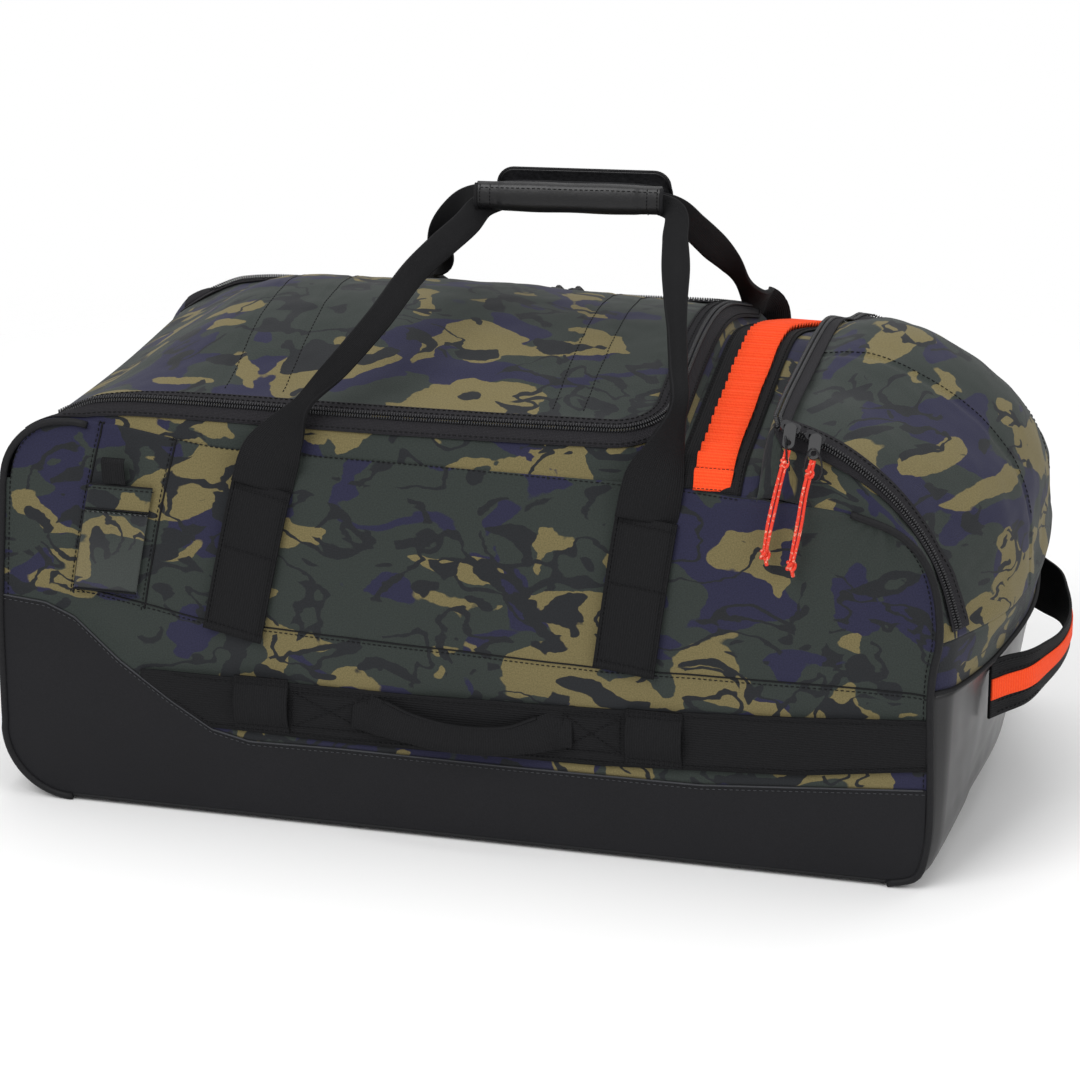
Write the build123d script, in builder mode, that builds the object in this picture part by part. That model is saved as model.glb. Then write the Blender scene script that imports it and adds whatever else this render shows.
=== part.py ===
"""Rolling duffel bag: a fabric body on a hard base, with two recessed wheels at the left
end, a two-stage pull handle under the right end, two haul straps that meet in a grip over
the top, a main lid hinged at the wheel end and an end flap hinged at the other.
Millimetres, +Z up, +X towards the pull handle, front face at -Y.  The origin is on the
floor, in the middle of the centre runner's underside."""
import os
from math import cos, hypot, radians, sin, sqrt, tan

from build123d import *

# ---------------------------------------------------------------- driving dimensions
HALF_WIDTH = 206.0          # outside of the front and back walls
LEFT_X = -380.0             # outside of the wheel end
RUNNER_HEIGHT = 3.0         # the fabric stands this far off the floor
WALL = 4.0                  # fabric with its foam and lining
CORNER_R = 55.0             # rounded lower corner of the wheel end
TOP_CORNER_R = 60.0         # rounded upper corner of the wheel end
GAP = 0.4                   # between a panel and the moving panel beside it
LAYER = 2.0                 # webbing and tape sewn on top of a panel

CROWN_Z = 386.0             # top of the lid, along its middle
CROWN_LEFT_Z = 366.0        # the same at the wheel end
YOKE_Z = 365.0              # dip between the lid and the end compartment
SHOULDER_Y, SHOULDER_Z = 184.0, 336.0
WALL_TOP_Z = 302.0          # where the walls start to round over
SPLIT_X = 222.0             # the fuller end compartment starts here
END_TOP_Z = 376.0           # end compartment, top of its first edge
END_CROWN_Z = 386.0         # the highest point of the end compartment
END_WALL_X = 366.0          # where the front wall turns into the end
FLOOR_END_X = 344.0         # end of the flat bottom

ARCH_Y = 192.0              # the end zipper's arch lies in this plane
ARCH_X, ARCH_Z, ARCH_R = 202.0, 176.0, 182.0
ARCH_ANGLES = (75, 64, 54, 44, 34, 24, 14, 8)

LID_LEFT_X = -352.0         # hinge line of the main lid
LID_RIGHT_X = 152.0
LID_HALF_WIDTH = 178.0
LID_CORNER_R = 42.0
TAPE = 14.0                 # zipper tape beside the chain, on the body
MOVING_TAPE = 13.0          # zipper tape on the lid and the flap
TEETH = 3.0                 # half the closed chain
TEETH_HEIGHT = 1.6

FLAP_LEFT_X = 240.0         # top stretch of the end zipper
FLAP_HINGE_Z = 196.0

WEBBING = 48.0              # wide webbing
WEBBING_THICK = 2.5
BAND_LEFT_X, BAND_RIGHT_X = 168.0, 219.0
STRIPE_LEFT_X, STRIPE_RIGHT_X = 181.0, 211.0
TARP_Z = 68.0               # top edge of the splash guard along the walls
TARP_END_Z = 164.0          # the same at the wheel end
LASH_Z = 98.0               # middle of the lash band

TUBE_Z = 27.0               # axis height of the pull handle tubes
TUBE_Y = 88.0
OUTER_R, OUTER_BORE = 10.0, 8.8
MIDDLE_R, MIDDLE_BORE = 8.5, 7.3
INNER_R, INNER_BORE = 7.0, 5.8
RUNNING = 0.05              # radial clearance of a running fit
TUBE_START_X, TUBE_END_X = -280.0, 320.0
CUP_X = 326.0               # inner face of the grip's recess
CUP_HALF_WIDTH = 112.0
CUP_LOW_Z, CUP_HIGH_Z = 10.0, 46.0
GRIP_LENGTH, GRIP_DEPTH, GRIP_HEIGHT = 205.0, 24.0, 22.0
GRIP_X = 334.0              # inner face of the grip
STAGE_TRAVEL = 250.0
BUTTON_TRAVEL = 4.0

WHEEL_R, WHEEL_WIDTH = 38.0, 26.0
WHEEL_X, WHEEL_Z, WHEEL_Y = -343.0, 40.0, 172.0
TYRE_THICK = 9.0
BEARING_R, BEARING_WIDTH, AXLE_R = 11.0, 7.0, 4.0
HOUSING_WIDTH, HOUSING_WALL = 46.0, 2.5
HOUSING_BACK_X, HOUSING_TOP_Z = -292.0, 100.0

BOARD_THICK = 3.0           # base board that carries the tubes
LINER_Z, LINER_THICK = 42.0, 2.0
RUNNER_Y = (-150.0, 0.0, 150.0)
RUNNER_WIDTH = 22.0
RUNNER_LEFT_X, RUNNER_RIGHT_X = -270.0, 318.0
SCREW_R, SCREW_HEAD_R = 2.0, 3.6
SCREW_X = (-240.0, -60.0, 120.0, 290.0)
SCREW_FIT = 0.3             # screws pass through with this to spare

HEAD_DEPTH, HEAD_THICK = 2.0, 1.4     # screw heads sunk in the runners
NUT_THICK = 2.5
CLAMP_X = (-250.0, 0.0, 290.0)
CLAMP_LENGTH, CLAMP_WIDTH = 18.0, 36.0
CLAMP_SCREW, CLAMP_SCREW_R = 14.0, 1.4

CUP_WALL, COLLAR, SOCKET = 3.0, 4.0, 8.0
YOKE_DEPTH, ROD_R = 3.0, 1.5
BUTTON_HALF, BUTTON_HEIGHT = 24.0, 10.0
PIN_R, PIN_LENGTH = 2.0, 10.0

HAUL_PIVOT_Z = 300.0
HAUL_BEND_Z = 350.0         # the straps rise straight to here, then lean inwards
HAUL_LEFT_X = (-181.0, -151.0)      # middle of the left anchor, at its foot and its top
HAUL_RIGHT_X = (131.5, 150.0)
HAUL_FOOT_Z = 155.0
WRAP_LEFT_X, WRAP_RIGHT_X = -32.0, 112.0
WRAP_LOW_Z, WRAP_HIGH_Z = 453.0, 485.0
WRAP_HALF_DEPTH = 21.0
WRAP_WALL = 5.0
CORE_DEPTH = 11.0           # the folded webbing inside the wrap
HANDLE_STAND = 7.0          # the side handles stand this far off the lash bands
GRAB_Z, GRAB_OUT_X, GRAB_HALF_Y = 137.0, 443.0, 122.0
PIPING = 3.0
POCKET_LEFT_X, POCKET_RIGHT_X = -312.0, -254.0      # address pocket, at its foot
POCKET_LOW_Z, POCKET_HIGH_Z = 180.0, 268.0
POCKET_LEAN = 0.146         # its sides lean this much along X for each step up
POCKET_SEAM = 9.0
TAB_LEFT_X, TAB_WIDTH = -297.0, 19.0                # pull tab of the card

SLIDER_LENGTH, SLIDER_WIDTH, SLIDER_THICK = 15.0, 9.0, 3.0
SLIDER_CLEAR = 0.4
LID_SLIDER_X = -20.0
PULL_LENGTH, PULL_WIDTH, PULL_THICK, PULL_EYE_R = 24.0, 9.0, 1.6, 2.2
CORD_R, KNOT_R = 2.4, 4.5    # a doubled cord
CORD_POINTS = {             # routes of the two pull cords, below their tabs
    "upper": [(252.5, -213, 332), (249, -214.5, 316), (245.5, -214.5, 298), (242, -214, 280), (240, -213.5, 264)],
    "lower": [(271, -213, 325), (268, -214.5, 309), (266, -215, 291), (263, -214.5, 273), (260, -213.5, 257)],
}
PULL_FALL = (0.0, -0.6, -0.8)       # the end pulls lean out this way, clear of the wall
FAR = 900.0                 # longer than everything: for cutting blocks
PARTS = "parts"


def save(part, name):
    """Label a finished piece and write its STEP file."""
    part.label = name
    export_step(part, f"{PARTS}/{name}.step")
    print(f"{name}: {len(part.solids())} solids, {part.volume / 1000:.1f} cm3")


def block(x, y, z):
    """A box between two limits along each axis."""
    with BuildPart() as solid:
        with Locations(((x[0] + x[1]) / 2, (y[0] + y[1]) / 2, (z[0] + z[1]) / 2)):
            Box(x[1] - x[0], y[1] - y[0], z[1] - z[0])
    return solid.part


def rod(start, axis, length, outer, inner=0.0):
    """A round bar or tube from start along an axis."""
    with BuildPart() as solid:
        with BuildSketch(Plane(origin=start, z_dir=axis)):
            Circle(outer)
            if inner:
                Circle(inner, mode=Mode.SUBTRACT)
        extrude(amount=length)
    return solid.part


def plate(points, y, thick):
    """A plate parallel to the front wall, from y outwards (towards -Y)."""
    with BuildPart() as solid:
        with BuildSketch(Plane.XZ.offset(-y)):
            with BuildLine():
                Polyline(*points, close=True)
            make_face()
        extrude(amount=thick)
    return solid.part


def joined(*pieces):
    """Several pieces as one part."""
    with BuildPart() as whole:
        for piece in pieces:
            add(piece)
    return whole.part


def trimmed(stock, keep=None, drop=()):
    """The stock inside keep and outside every piece of drop."""
    with BuildPart() as piece:
        add(stock)
        if keep is not None:
            add(keep, mode=Mode.INTERSECT)
        for cutter in drop:
            add(cutter, mode=Mode.SUBTRACT)
    return piece.part


def mirrored(part):
    """The same piece on the back of the bag."""
    with BuildPart() as copy:
        add(part)
        mirror(about=Plane.XZ, mode=Mode.REPLACE)
    return copy.part


# ---------------------------------------------------------------- the bag's envelope
def main_side(grow):
    """Side view (X, Z) of the main compartment, grown outwards."""
    left, bottom = LEFT_X - grow, RUNNER_HEIGHT - grow
    low_r, high_r = CORNER_R + grow, TOP_CORNER_R + grow
    top_left = (left + high_r, CROWN_LEFT_Z + grow)
    end_x = SPLIT_X + 20
    with BuildSketch() as outline:
        with BuildLine():
            Line((left, bottom + low_r), (left, top_left[1] - high_r))
            RadiusArc((left, top_left[1] - high_r), top_left, high_r)
            ThreePointArc(top_left, (-80, CROWN_Z + 2 + grow), (LID_RIGHT_X - 4, 377 + grow))
            Polyline((LID_RIGHT_X - 4, 377 + grow), (BAND_LEFT_X, YOKE_Z + grow), (end_x, YOKE_Z + grow),
                     (end_x, bottom), (left + low_r, bottom))
            RadiusArc((left + low_r, bottom), (left, bottom + low_r), low_r)
        make_face()
    return outline.sketch


def main_section(grow):
    """Cross-section (Y, Z) of the main compartment: walls, shoulders and a crowned top."""
    wall_y, bottom = HALF_WIDTH + grow, RUNNER_HEIGHT - grow
    edge_y, edge_z = SHOULDER_Y + 0.7 * grow, SHOULDER_Z + 0.7 * grow
    shoulder = wall_y - 0.25 * (wall_y - edge_y)
    rise = WALL_TOP_Z + 0.6 * (edge_z - WALL_TOP_Z)
    with BuildSketch() as cut:
        with BuildLine():
            Polyline((-wall_y, WALL_TOP_Z), (-wall_y, bottom), (wall_y, bottom), (wall_y, WALL_TOP_Z))
            ThreePointArc((wall_y, WALL_TOP_Z), (shoulder, rise), (edge_y, edge_z))
            ThreePointArc((edge_y, edge_z), (0, CROWN_Z + grow), (-edge_y, edge_z))
            ThreePointArc((-edge_y, edge_z), (-shoulder, rise), (-wall_y, WALL_TOP_Z))
        make_face()
    return cut.sketch


ARCH_POINTS = [(ARCH_X + ARCH_R * cos(radians(a)), ARCH_Z + ARCH_R * sin(radians(a))) for a in ARCH_ANGLES]
END_OUTLINES = {            # side views of the end compartment, by distance from the middle
    HALF_WIDTH: [(END_WALL_X, 39), (END_WALL_X, 158), (371, 200), (370, 225), (366, 245), (359, 262),
                 (348, 276), (333, 286), (312, 293), (290, 298), (SPLIT_X, WALL_TOP_Z)],
    ARCH_Y: [(372, 39), (380, 158)] + ARCH_POINTS[::-1] + [(SPLIT_X, 354)],
    100.0: [(380, 39), (403, 158), (414, 200), (413, 245), (408, 272), (392, 300), (366, 326),
            (334, 346), (290, 364), (250, 369), (SPLIT_X, 368)],
    0.0: [(385, 39), (412, 158), (421, 200), (421, 245), (417, 280), (402, 318), (374, 350),
          (336, 373), (290, END_CROWN_Z), (250, 377), (SPLIT_X, END_TOP_Z)],
}
END_FOCUS = (300.0, 180.0)  # the end outlines grow away from this point


def end_outline(points, grow):
    """Closed outline of the end compartment in one plane, grown outwards."""
    start_x = SPLIT_X - grow
    grown = [(start_x, RUNNER_HEIGHT - grow), (FLOOR_END_X, RUNNER_HEIGHT - grow)]
    for x, z in points:
        reach = hypot(x - END_FOCUS[0], z - END_FOCUS[1])
        out_x = x + grow * (x - END_FOCUS[0]) / reach
        out_z = z + grow * (z - END_FOCUS[1]) / reach
        grown.append((start_x if x == SPLIT_X else out_x, out_z))
    return grown


def envelope(grow):
    """The bag's closed outer shape, grown outwards by grow."""
    with BuildPart() as body:
        with BuildSketch(Plane.YZ.offset(LEFT_X - 20)):
            add(main_section(grow))
        extrude(amount=SPLIT_X + 20 - LEFT_X)
        with BuildSketch(Plane.XZ):
            add(main_side(grow))
        extrude(amount=HALF_WIDTH + 20, both=True, mode=Mode.INTERSECT)
    stations = sorted(END_OUTLINES)
    stations = [-y for y in stations[:0:-1]] + stations
    with BuildPart() as end:
        for y in stations:
            with BuildSketch(Plane.XZ.offset(-y * (HALF_WIDTH + grow) / HALF_WIDTH)):
                with BuildLine():
                    Polyline(*end_outline(END_OUTLINES[abs(y)], grow), close=True)
                make_face()
        loft(ruled=True)
    main = trimmed(body.part, block((-FAR, SPLIT_X), (-FAR, FAR), (-FAR, FAR)))
    return joined(main, end.part)


def lid_prism(grow):
    """Upright prism over the main lid's outline, its hinge edge fixed."""
    with BuildPart() as prism:
        with BuildSketch(Plane.XY.offset(WALL_TOP_Z - 10)):
            with Locations(((LID_LEFT_X + LID_RIGHT_X + grow) / 2, 0)):
                Rectangle(LID_RIGHT_X + grow - LID_LEFT_X, 2 * (LID_HALF_WIDTH + grow))
            fillet(vertices().group_by(Axis.X)[-1], LID_CORNER_R + grow)
        extrude(amount=200)
    return prism.part


def flap_prism(grow):
    """Block that holds the end flap."""
    half = ARCH_Y + grow
    return block((FLAP_LEFT_X - grow, FAR), (-half, half), (FLAP_HINGE_Z - min(grow, GAP), FAR))


def fabric_panels(shell):
    """The bag's sewn walls, as separate panels that meet at their seams."""
    inner = HALF_WIDTH - WALL
    half = GAP / 2
    tarp = [(LEFT_X - 20, -20), (LEFT_X - 20, TARP_END_Z), (-330, TARP_END_Z), (-316, 158),
            (-276, 124), (-234, 94), (-194, TARP_Z), (250, TARP_Z), (END_WALL_X + 4, 82),
            (END_WALL_X + 4, -20)]
    guard = plate(tarp, -inner + 1, WALL + 20)
    wall = block((-FAR, END_WALL_X - 4), (-FAR, -inner), (-FAR, WALL_TOP_Z))
    front_wall = trimmed(shell, wall)
    save_pair(trimmed(front_wall, drop=[guard]), "{}_panel")
    guards = trimmed(front_wall, guard)
    save(joined(guards, mirrored(guards)), "splash_guards")

    housings = joined(*[housing_block(side, 0.0) for side in (-1, 1)])
    screws = [rod((x, y, -5), (0, 0, 1), 40, SCREW_R + SCREW_FIT) for x in SCREW_X for y in RUNNER_Y]
    floor = block((LEFT_X + CORNER_R, FLOOR_END_X - 4), (-inner, inner), (-FAR, RUNNER_HEIGHT + WALL))
    save(trimmed(shell, floor, [housings] + screws), "bottom_panel")
    wheel_end = block((-FAR, LEFT_X + CORNER_R), (-inner, inner), (-FAR, WALL_TOP_Z))
    save(trimmed(shell, wheel_end, [housings]), "wheel_end_panel")

    cup = block((CUP_X - 20, FAR), (-CUP_HALF_WIDTH, CUP_HALF_WIDTH), (CUP_LOW_Z, CUP_HIGH_Z))
    end = joined(block((FLOOR_END_X - 4, FAR), (-inner, inner), (-FAR, FLAP_HINGE_Z - half)),
                 block((END_WALL_X - 4, FAR), (-FAR, FAR), (-FAR, FLAP_HINGE_Z - half)))
    save(trimmed(shell, end, [cup]), "handle_end_panel")

    lid_hole = lid_prism(half)
    save(trimmed(shell, block((-FAR, LID_LEFT_X - GAP), (-inner, inner), (WALL_TOP_Z, FAR))), "wheel_end_yoke")
    shoulders = joined(block((LID_LEFT_X - GAP, BAND_LEFT_X), (-FAR, 0), (WALL_TOP_Z, FAR)),
                       block((-FAR, LID_LEFT_X - GAP), (-FAR, -inner), (WALL_TOP_Z, FAR)))
    beyond_lid = block((LID_RIGHT_X - LID_CORNER_R, FAR), (-LID_HALF_WIDTH + LID_CORNER_R, 0), (0, FAR))
    hinge_slit = block((LID_LEFT_X - 1, LID_LEFT_X + 1), (-LID_HALF_WIDTH, 0), (0, FAR))
    shoulder = trimmed(shell, shoulders, [lid_hole, beyond_lid, hinge_slit])
    save(joined(shoulder, mirrored(shoulder)), "shoulders")
    yoke = joined(block((BAND_LEFT_X, FLAP_LEFT_X - half), (-FAR, FAR), (WALL_TOP_Z, FAR)),
                  block((LID_RIGHT_X - LID_CORNER_R, BAND_LEFT_X),
                        (-LID_HALF_WIDTH + LID_CORNER_R, LID_HALF_WIDTH - LID_CORNER_R), (WALL_TOP_Z, FAR)))
    save(trimmed(shell, yoke, [lid_hole]), "centre_yoke")
    corner = joined(block((FLAP_LEFT_X - half, END_WALL_X - 4), (-FAR, -ARCH_Y - half), (WALL_TOP_Z, FAR)),
                    block((END_WALL_X - 4, FAR), (-FAR, -ARCH_Y - half), (FLAP_HINGE_Z - half, FAR)),
                    block((FLAP_LEFT_X - half, END_WALL_X - 4), (-inner, -ARCH_Y - half), (FLAP_HINGE_Z, WALL_TOP_Z)))
    gusset = trimmed(shell, corner)
    save(joined(gusset, mirrored(gusset)), "end_gussets")

    lid = trimmed(shell, lid_prism(-half), [block((-FAR, LID_LEFT_X), (-FAR, FAR), (0, FAR))])
    save(lid, "main_lid")
    save(trimmed(shell, flap_prism(-half)), "end_flap")


def save_pair(part, pattern):
    """Write a piece for the front and its mirror image for the back."""
    save(part, pattern.format("front"))
    save(mirrored(part), pattern.format("back"))


def zippers(tape_skin, teeth_skin):
    """Zipper tapes with their half chains: some on the body, some on what opens."""
    half = GAP / 2
    past_hinge = block((LID_LEFT_X + 8, FAR), (-FAR, FAR), (0, FAR))
    lid_edge = trimmed(lid_prism(-half), past_hinge)
    rim = joined(trimmed(tape_skin, trimmed(lid_prism(TAPE), past_hinge), [lid_prism(half)]),
                 trimmed(teeth_skin, trimmed(lid_prism(TEETH), past_hinge), [lid_prism(half)]))
    save(joined(trimmed(tape_skin, lid_edge, [lid_inset(MOVING_TAPE)]),
                trimmed(teeth_skin, lid_edge, [lid_inset(TEETH)])), "lid_zip_tape")

    above_hinge = block((-FAR, FAR), (-FAR, FAR), (FLAP_HINGE_Z + 6, FAR))
    flap_edge = trimmed(flap_prism(-half), above_hinge)
    end_rim = joined(trimmed(tape_skin, trimmed(flap_prism(TAPE - 2), above_hinge), [flap_prism(half)]),
                     trimmed(teeth_skin, trimmed(flap_prism(TEETH), above_hinge), [flap_prism(half)]))
    save(joined(rim, end_rim), "rim_tapes")
    save(joined(trimmed(tape_skin, flap_edge, [flap_inset(MOVING_TAPE)]),
                trimmed(teeth_skin, flap_edge, [flap_inset(TEETH)])), "flap_zip_tape")


def lid_inset(amount):
    """Prism that leaves a strip of the lid's edge, and nothing along its hinge."""
    return joined(lid_prism(-amount), block((LID_LEFT_X - 5, LID_LEFT_X + 20),
                                            (-LID_HALF_WIDTH + amount, LID_HALF_WIDTH - amount), (0, FAR)))


def flap_inset(amount):
    """Block that leaves a strip of the flap's zipped edges."""
    half = ARCH_Y - amount
    return block((FLAP_LEFT_X + amount, FAR), (-half, half), (0, FAR))


def housing_block(side, shrink):
    """Outer block of one wheel housing, or its hollow when shrunk."""
    low = side * WHEEL_Y - HOUSING_WIDTH / 2 + shrink
    high = side * WHEEL_Y + HOUSING_WIDTH / 2 - shrink
    grow_out = 30.0 if shrink else 0.0
    return block((LEFT_X - 2 - grow_out, HOUSING_BACK_X - shrink), (low, high),
                 (0.6 - grow_out, HOUSING_TOP_Z - shrink))


# ---------------------------------------------------------------- base and lining
def base():
    """Runners, board, floor liner and divider, with the screws that hold them."""
    inner = HALF_WIDTH - WALL
    board_z = RUNNER_HEIGHT + WALL
    spots = [(x, y) for x in SCREW_X for y in RUNNER_Y]
    with BuildPart() as runners:
        with Locations(*[((RUNNER_LEFT_X + RUNNER_RIGHT_X) / 2, y, RUNNER_HEIGHT / 2) for y in RUNNER_Y]):
            Box(RUNNER_RIGHT_X - RUNNER_LEFT_X, RUNNER_WIDTH, RUNNER_HEIGHT)
        fillet(runners.edges().filter_by(Axis.Z), RUNNER_WIDTH / 2 - 1)
        with Locations(*[(x, y, 0) for x, y in spots]):
            Cylinder(SCREW_R + SCREW_FIT, 3 * RUNNER_HEIGHT, mode=Mode.SUBTRACT)
            Cylinder(SCREW_HEAD_R + SCREW_FIT, 2 * HEAD_DEPTH, mode=Mode.SUBTRACT)
    save(runners.part, "runners")

    clamp_spots = [(x, side * TUBE_Y + reach) for x in CLAMP_X for side in (-1, 1)
                   for reach in (-CLAMP_SCREW, CLAMP_SCREW)]
    with BuildPart() as board:
        with Locations(((HOUSING_BACK_X + 2 + FLOOR_END_X - 4) / 2, 0, board_z + BOARD_THICK / 2)):
            Box(FLOOR_END_X - 6 - HOUSING_BACK_X, 2 * inner, BOARD_THICK)
        with Locations(*[(x, y, board_z) for x, y in spots]):
            Cylinder(SCREW_R + SCREW_FIT, 4 * BOARD_THICK, mode=Mode.SUBTRACT)
        with Locations(*[(x, y, board_z) for x, y in clamp_spots]):
            Cylinder(CLAMP_SCREW_R + SCREW_FIT, 4 * BOARD_THICK, mode=Mode.SUBTRACT)
    save(board.part, "base_board")

    liner = block((HOUSING_BACK_X, CUP_X - 22), (-inner, inner), (LINER_Z, LINER_Z + LINER_THICK))
    save(liner, "floor_liner")
    divider = block((SPLIT_X, SPLIT_X + WALL), (-inner, inner), (LINER_Z + LINER_THICK, WALL_TOP_Z))
    save(divider, "divider_panel")

    board_top = board_z + BOARD_THICK
    with BuildPart() as fasteners:
        with BuildSketch(Plane.XY.offset(HEAD_DEPTH - HEAD_THICK)):
            with Locations(*spots):
                Circle(SCREW_HEAD_R)
        extrude(amount=HEAD_THICK)
        with BuildSketch(Plane.XY.offset(HEAD_DEPTH)):
            with Locations(*spots):
                Circle(SCREW_R)
        extrude(amount=board_top + NUT_THICK - HEAD_DEPTH)
        with BuildSketch(Plane.XY.offset(board_top)):
            with Locations(*spots):
                RegularPolygon(2 * SCREW_R, 6)
        extrude(amount=NUT_THICK)
        with BuildSketch(Plane.XY.offset(board_z + 0.5)):
            with Locations(*clamp_spots):
                Circle(CLAMP_SCREW_R)
        extrude(amount=LINER_Z - 1 - board_z)
    save(fasteners.part, "base_fasteners")

    with BuildPart() as clamps:
        with Locations(*[(x, side * TUBE_Y, (board_top + LINER_Z) / 2) for x in CLAMP_X for side in (-1, 1)]):
            Box(CLAMP_LENGTH, CLAMP_WIDTH, LINER_Z - board_top)
        for side in (-1, 1):
            add(rod((TUBE_START_X - 20, side * TUBE_Y, TUBE_Z), (1, 0, 0), FAR, OUTER_R + 0.1), mode=Mode.SUBTRACT)
        with Locations(*[(x, y, LINER_Z) for x, y in clamp_spots]):
            Cylinder(CLAMP_SCREW_R + SCREW_FIT, 2 * LINER_Z, mode=Mode.SUBTRACT)
    save(clamps.part, "tube_clamps")


# ---------------------------------------------------------------- pull handle
def tubes(start_x, end_x, outer, bore):
    """A pair of tubes, one each side of the middle."""
    return joined(*[rod((start_x, side * TUBE_Y, TUBE_Z), (1, 0, 0), end_x - start_x, outer, bore)
                    for side in (-1, 1)])


def pull_handle(outer_shape):
    """Two-stage pull handle: tubes, cup, grip, release button, rods and lock pins."""
    middle_start, inner_start = TUBE_START_X + 5, TUBE_START_X + 10
    middle_end = CUP_X - 2
    pin_x = inner_start + 10
    save(tubes(TUBE_START_X, TUBE_END_X, OUTER_R, OUTER_BORE), "outer_tubes")
    way = PIN_R + 0.1
    pin_ways = [rod((pin_x, side * TUBE_Y, TUBE_Z), (0, 0, -1), MIDDLE_R + 1, way) for side in (-1, 1)]
    keyways = [block((pin_x - way, pin_x + STAGE_TRAVEL + way), (side * TUBE_Y - way, side * TUBE_Y + way),
                     (TUBE_Z - MIDDLE_R - 1, TUBE_Z)) for side in (-1, 1)]
    save(trimmed(tubes(middle_start, middle_end, MIDDLE_R, MIDDLE_BORE), drop=keyways), "middle_tubes")
    save(tubes(middle_end, middle_end + COLLAR, MIDDLE_R, INNER_R + RUNNING), "stage_collars")
    inner = trimmed(tubes(inner_start, GRIP_X + SOCKET, INNER_R, INNER_BORE), drop=pin_ways)
    save(inner, "inner_tubes")

    half = CUP_HALF_WIDTH
    cup = block((CUP_X - CUP_WALL, FAR), (-half, half), (CUP_LOW_Z, CUP_HIGH_Z))
    hollow = block((CUP_X, FAR), (-half + CUP_WALL, half - CUP_WALL), (CUP_LOW_Z + CUP_WALL, CUP_HIGH_Z - CUP_WALL))
    collars = tubes(TUBE_END_X, CUP_X - CUP_WALL, OUTER_R + 2, MIDDLE_R + RUNNING)
    bores = tubes(TUBE_END_X - 1, CUP_X + 1, MIDDLE_R + RUNNING, 0)
    save(trimmed(joined(trimmed(cup, outer_shape), collars), drop=[hollow, bores]), "handle_cup")

    grip_end = GRIP_X + GRIP_DEPTH
    slot_start = GRIP_X + SOCKET
    with BuildPart() as grip:
        add(block((GRIP_X, grip_end), (-GRIP_LENGTH / 2, GRIP_LENGTH / 2),
                  (TUBE_Z - GRIP_HEIGHT / 2, TUBE_Z + GRIP_HEIGHT / 2)))
        fillet(grip.edges().filter_by(Axis.Y), 7)
        add(tubes(GRIP_X - 1, slot_start, INNER_R, 0), mode=Mode.SUBTRACT)
        add(block((slot_start, slot_start + YOKE_DEPTH + BUTTON_TRAVEL + 1),
                  (-TUBE_Y - 5, TUBE_Y + 5), (TUBE_Z - 3.5, TUBE_Z + 3.5)), mode=Mode.SUBTRACT)
        add(block((slot_start + YOKE_DEPTH, FAR), (-BUTTON_HALF - GAP, BUTTON_HALF + GAP),
                  (TUBE_Z - BUTTON_HEIGHT / 2 - GAP, TUBE_Z + BUTTON_HEIGHT / 2 + GAP)), mode=Mode.SUBTRACT)
    save(grip.part, "pull_grip")

    yoke_x = slot_start + BUTTON_TRAVEL + 0.5
    yoke = block((yoke_x, yoke_x + YOKE_DEPTH), (-TUBE_Y - 4, TUBE_Y + 4), (TUBE_Z - 2, TUBE_Z + 2))
    save(joined(yoke, tubes(pin_x + PIN_R + BUTTON_TRAVEL + 2, yoke_x, ROD_R, 0)), "release_rods")
    with BuildPart() as button:
        add(block((yoke_x + YOKE_DEPTH, grip_end + 1.5), (-BUTTON_HALF, BUTTON_HALF),
                  (TUBE_Z - BUTTON_HEIGHT / 2, TUBE_Z + BUTTON_HEIGHT / 2)))
        fillet(button.edges().filter_by(Axis.X), 2)
    save(button.part, "release_button")
    pins = [rod((pin_x, side * TUBE_Y, TUBE_Z - MIDDLE_R + 0.2), (0, 0, 1), PIN_LENGTH, PIN_R) for side in (-1, 1)]
    save(joined(*pins), "lock_pins")


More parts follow.
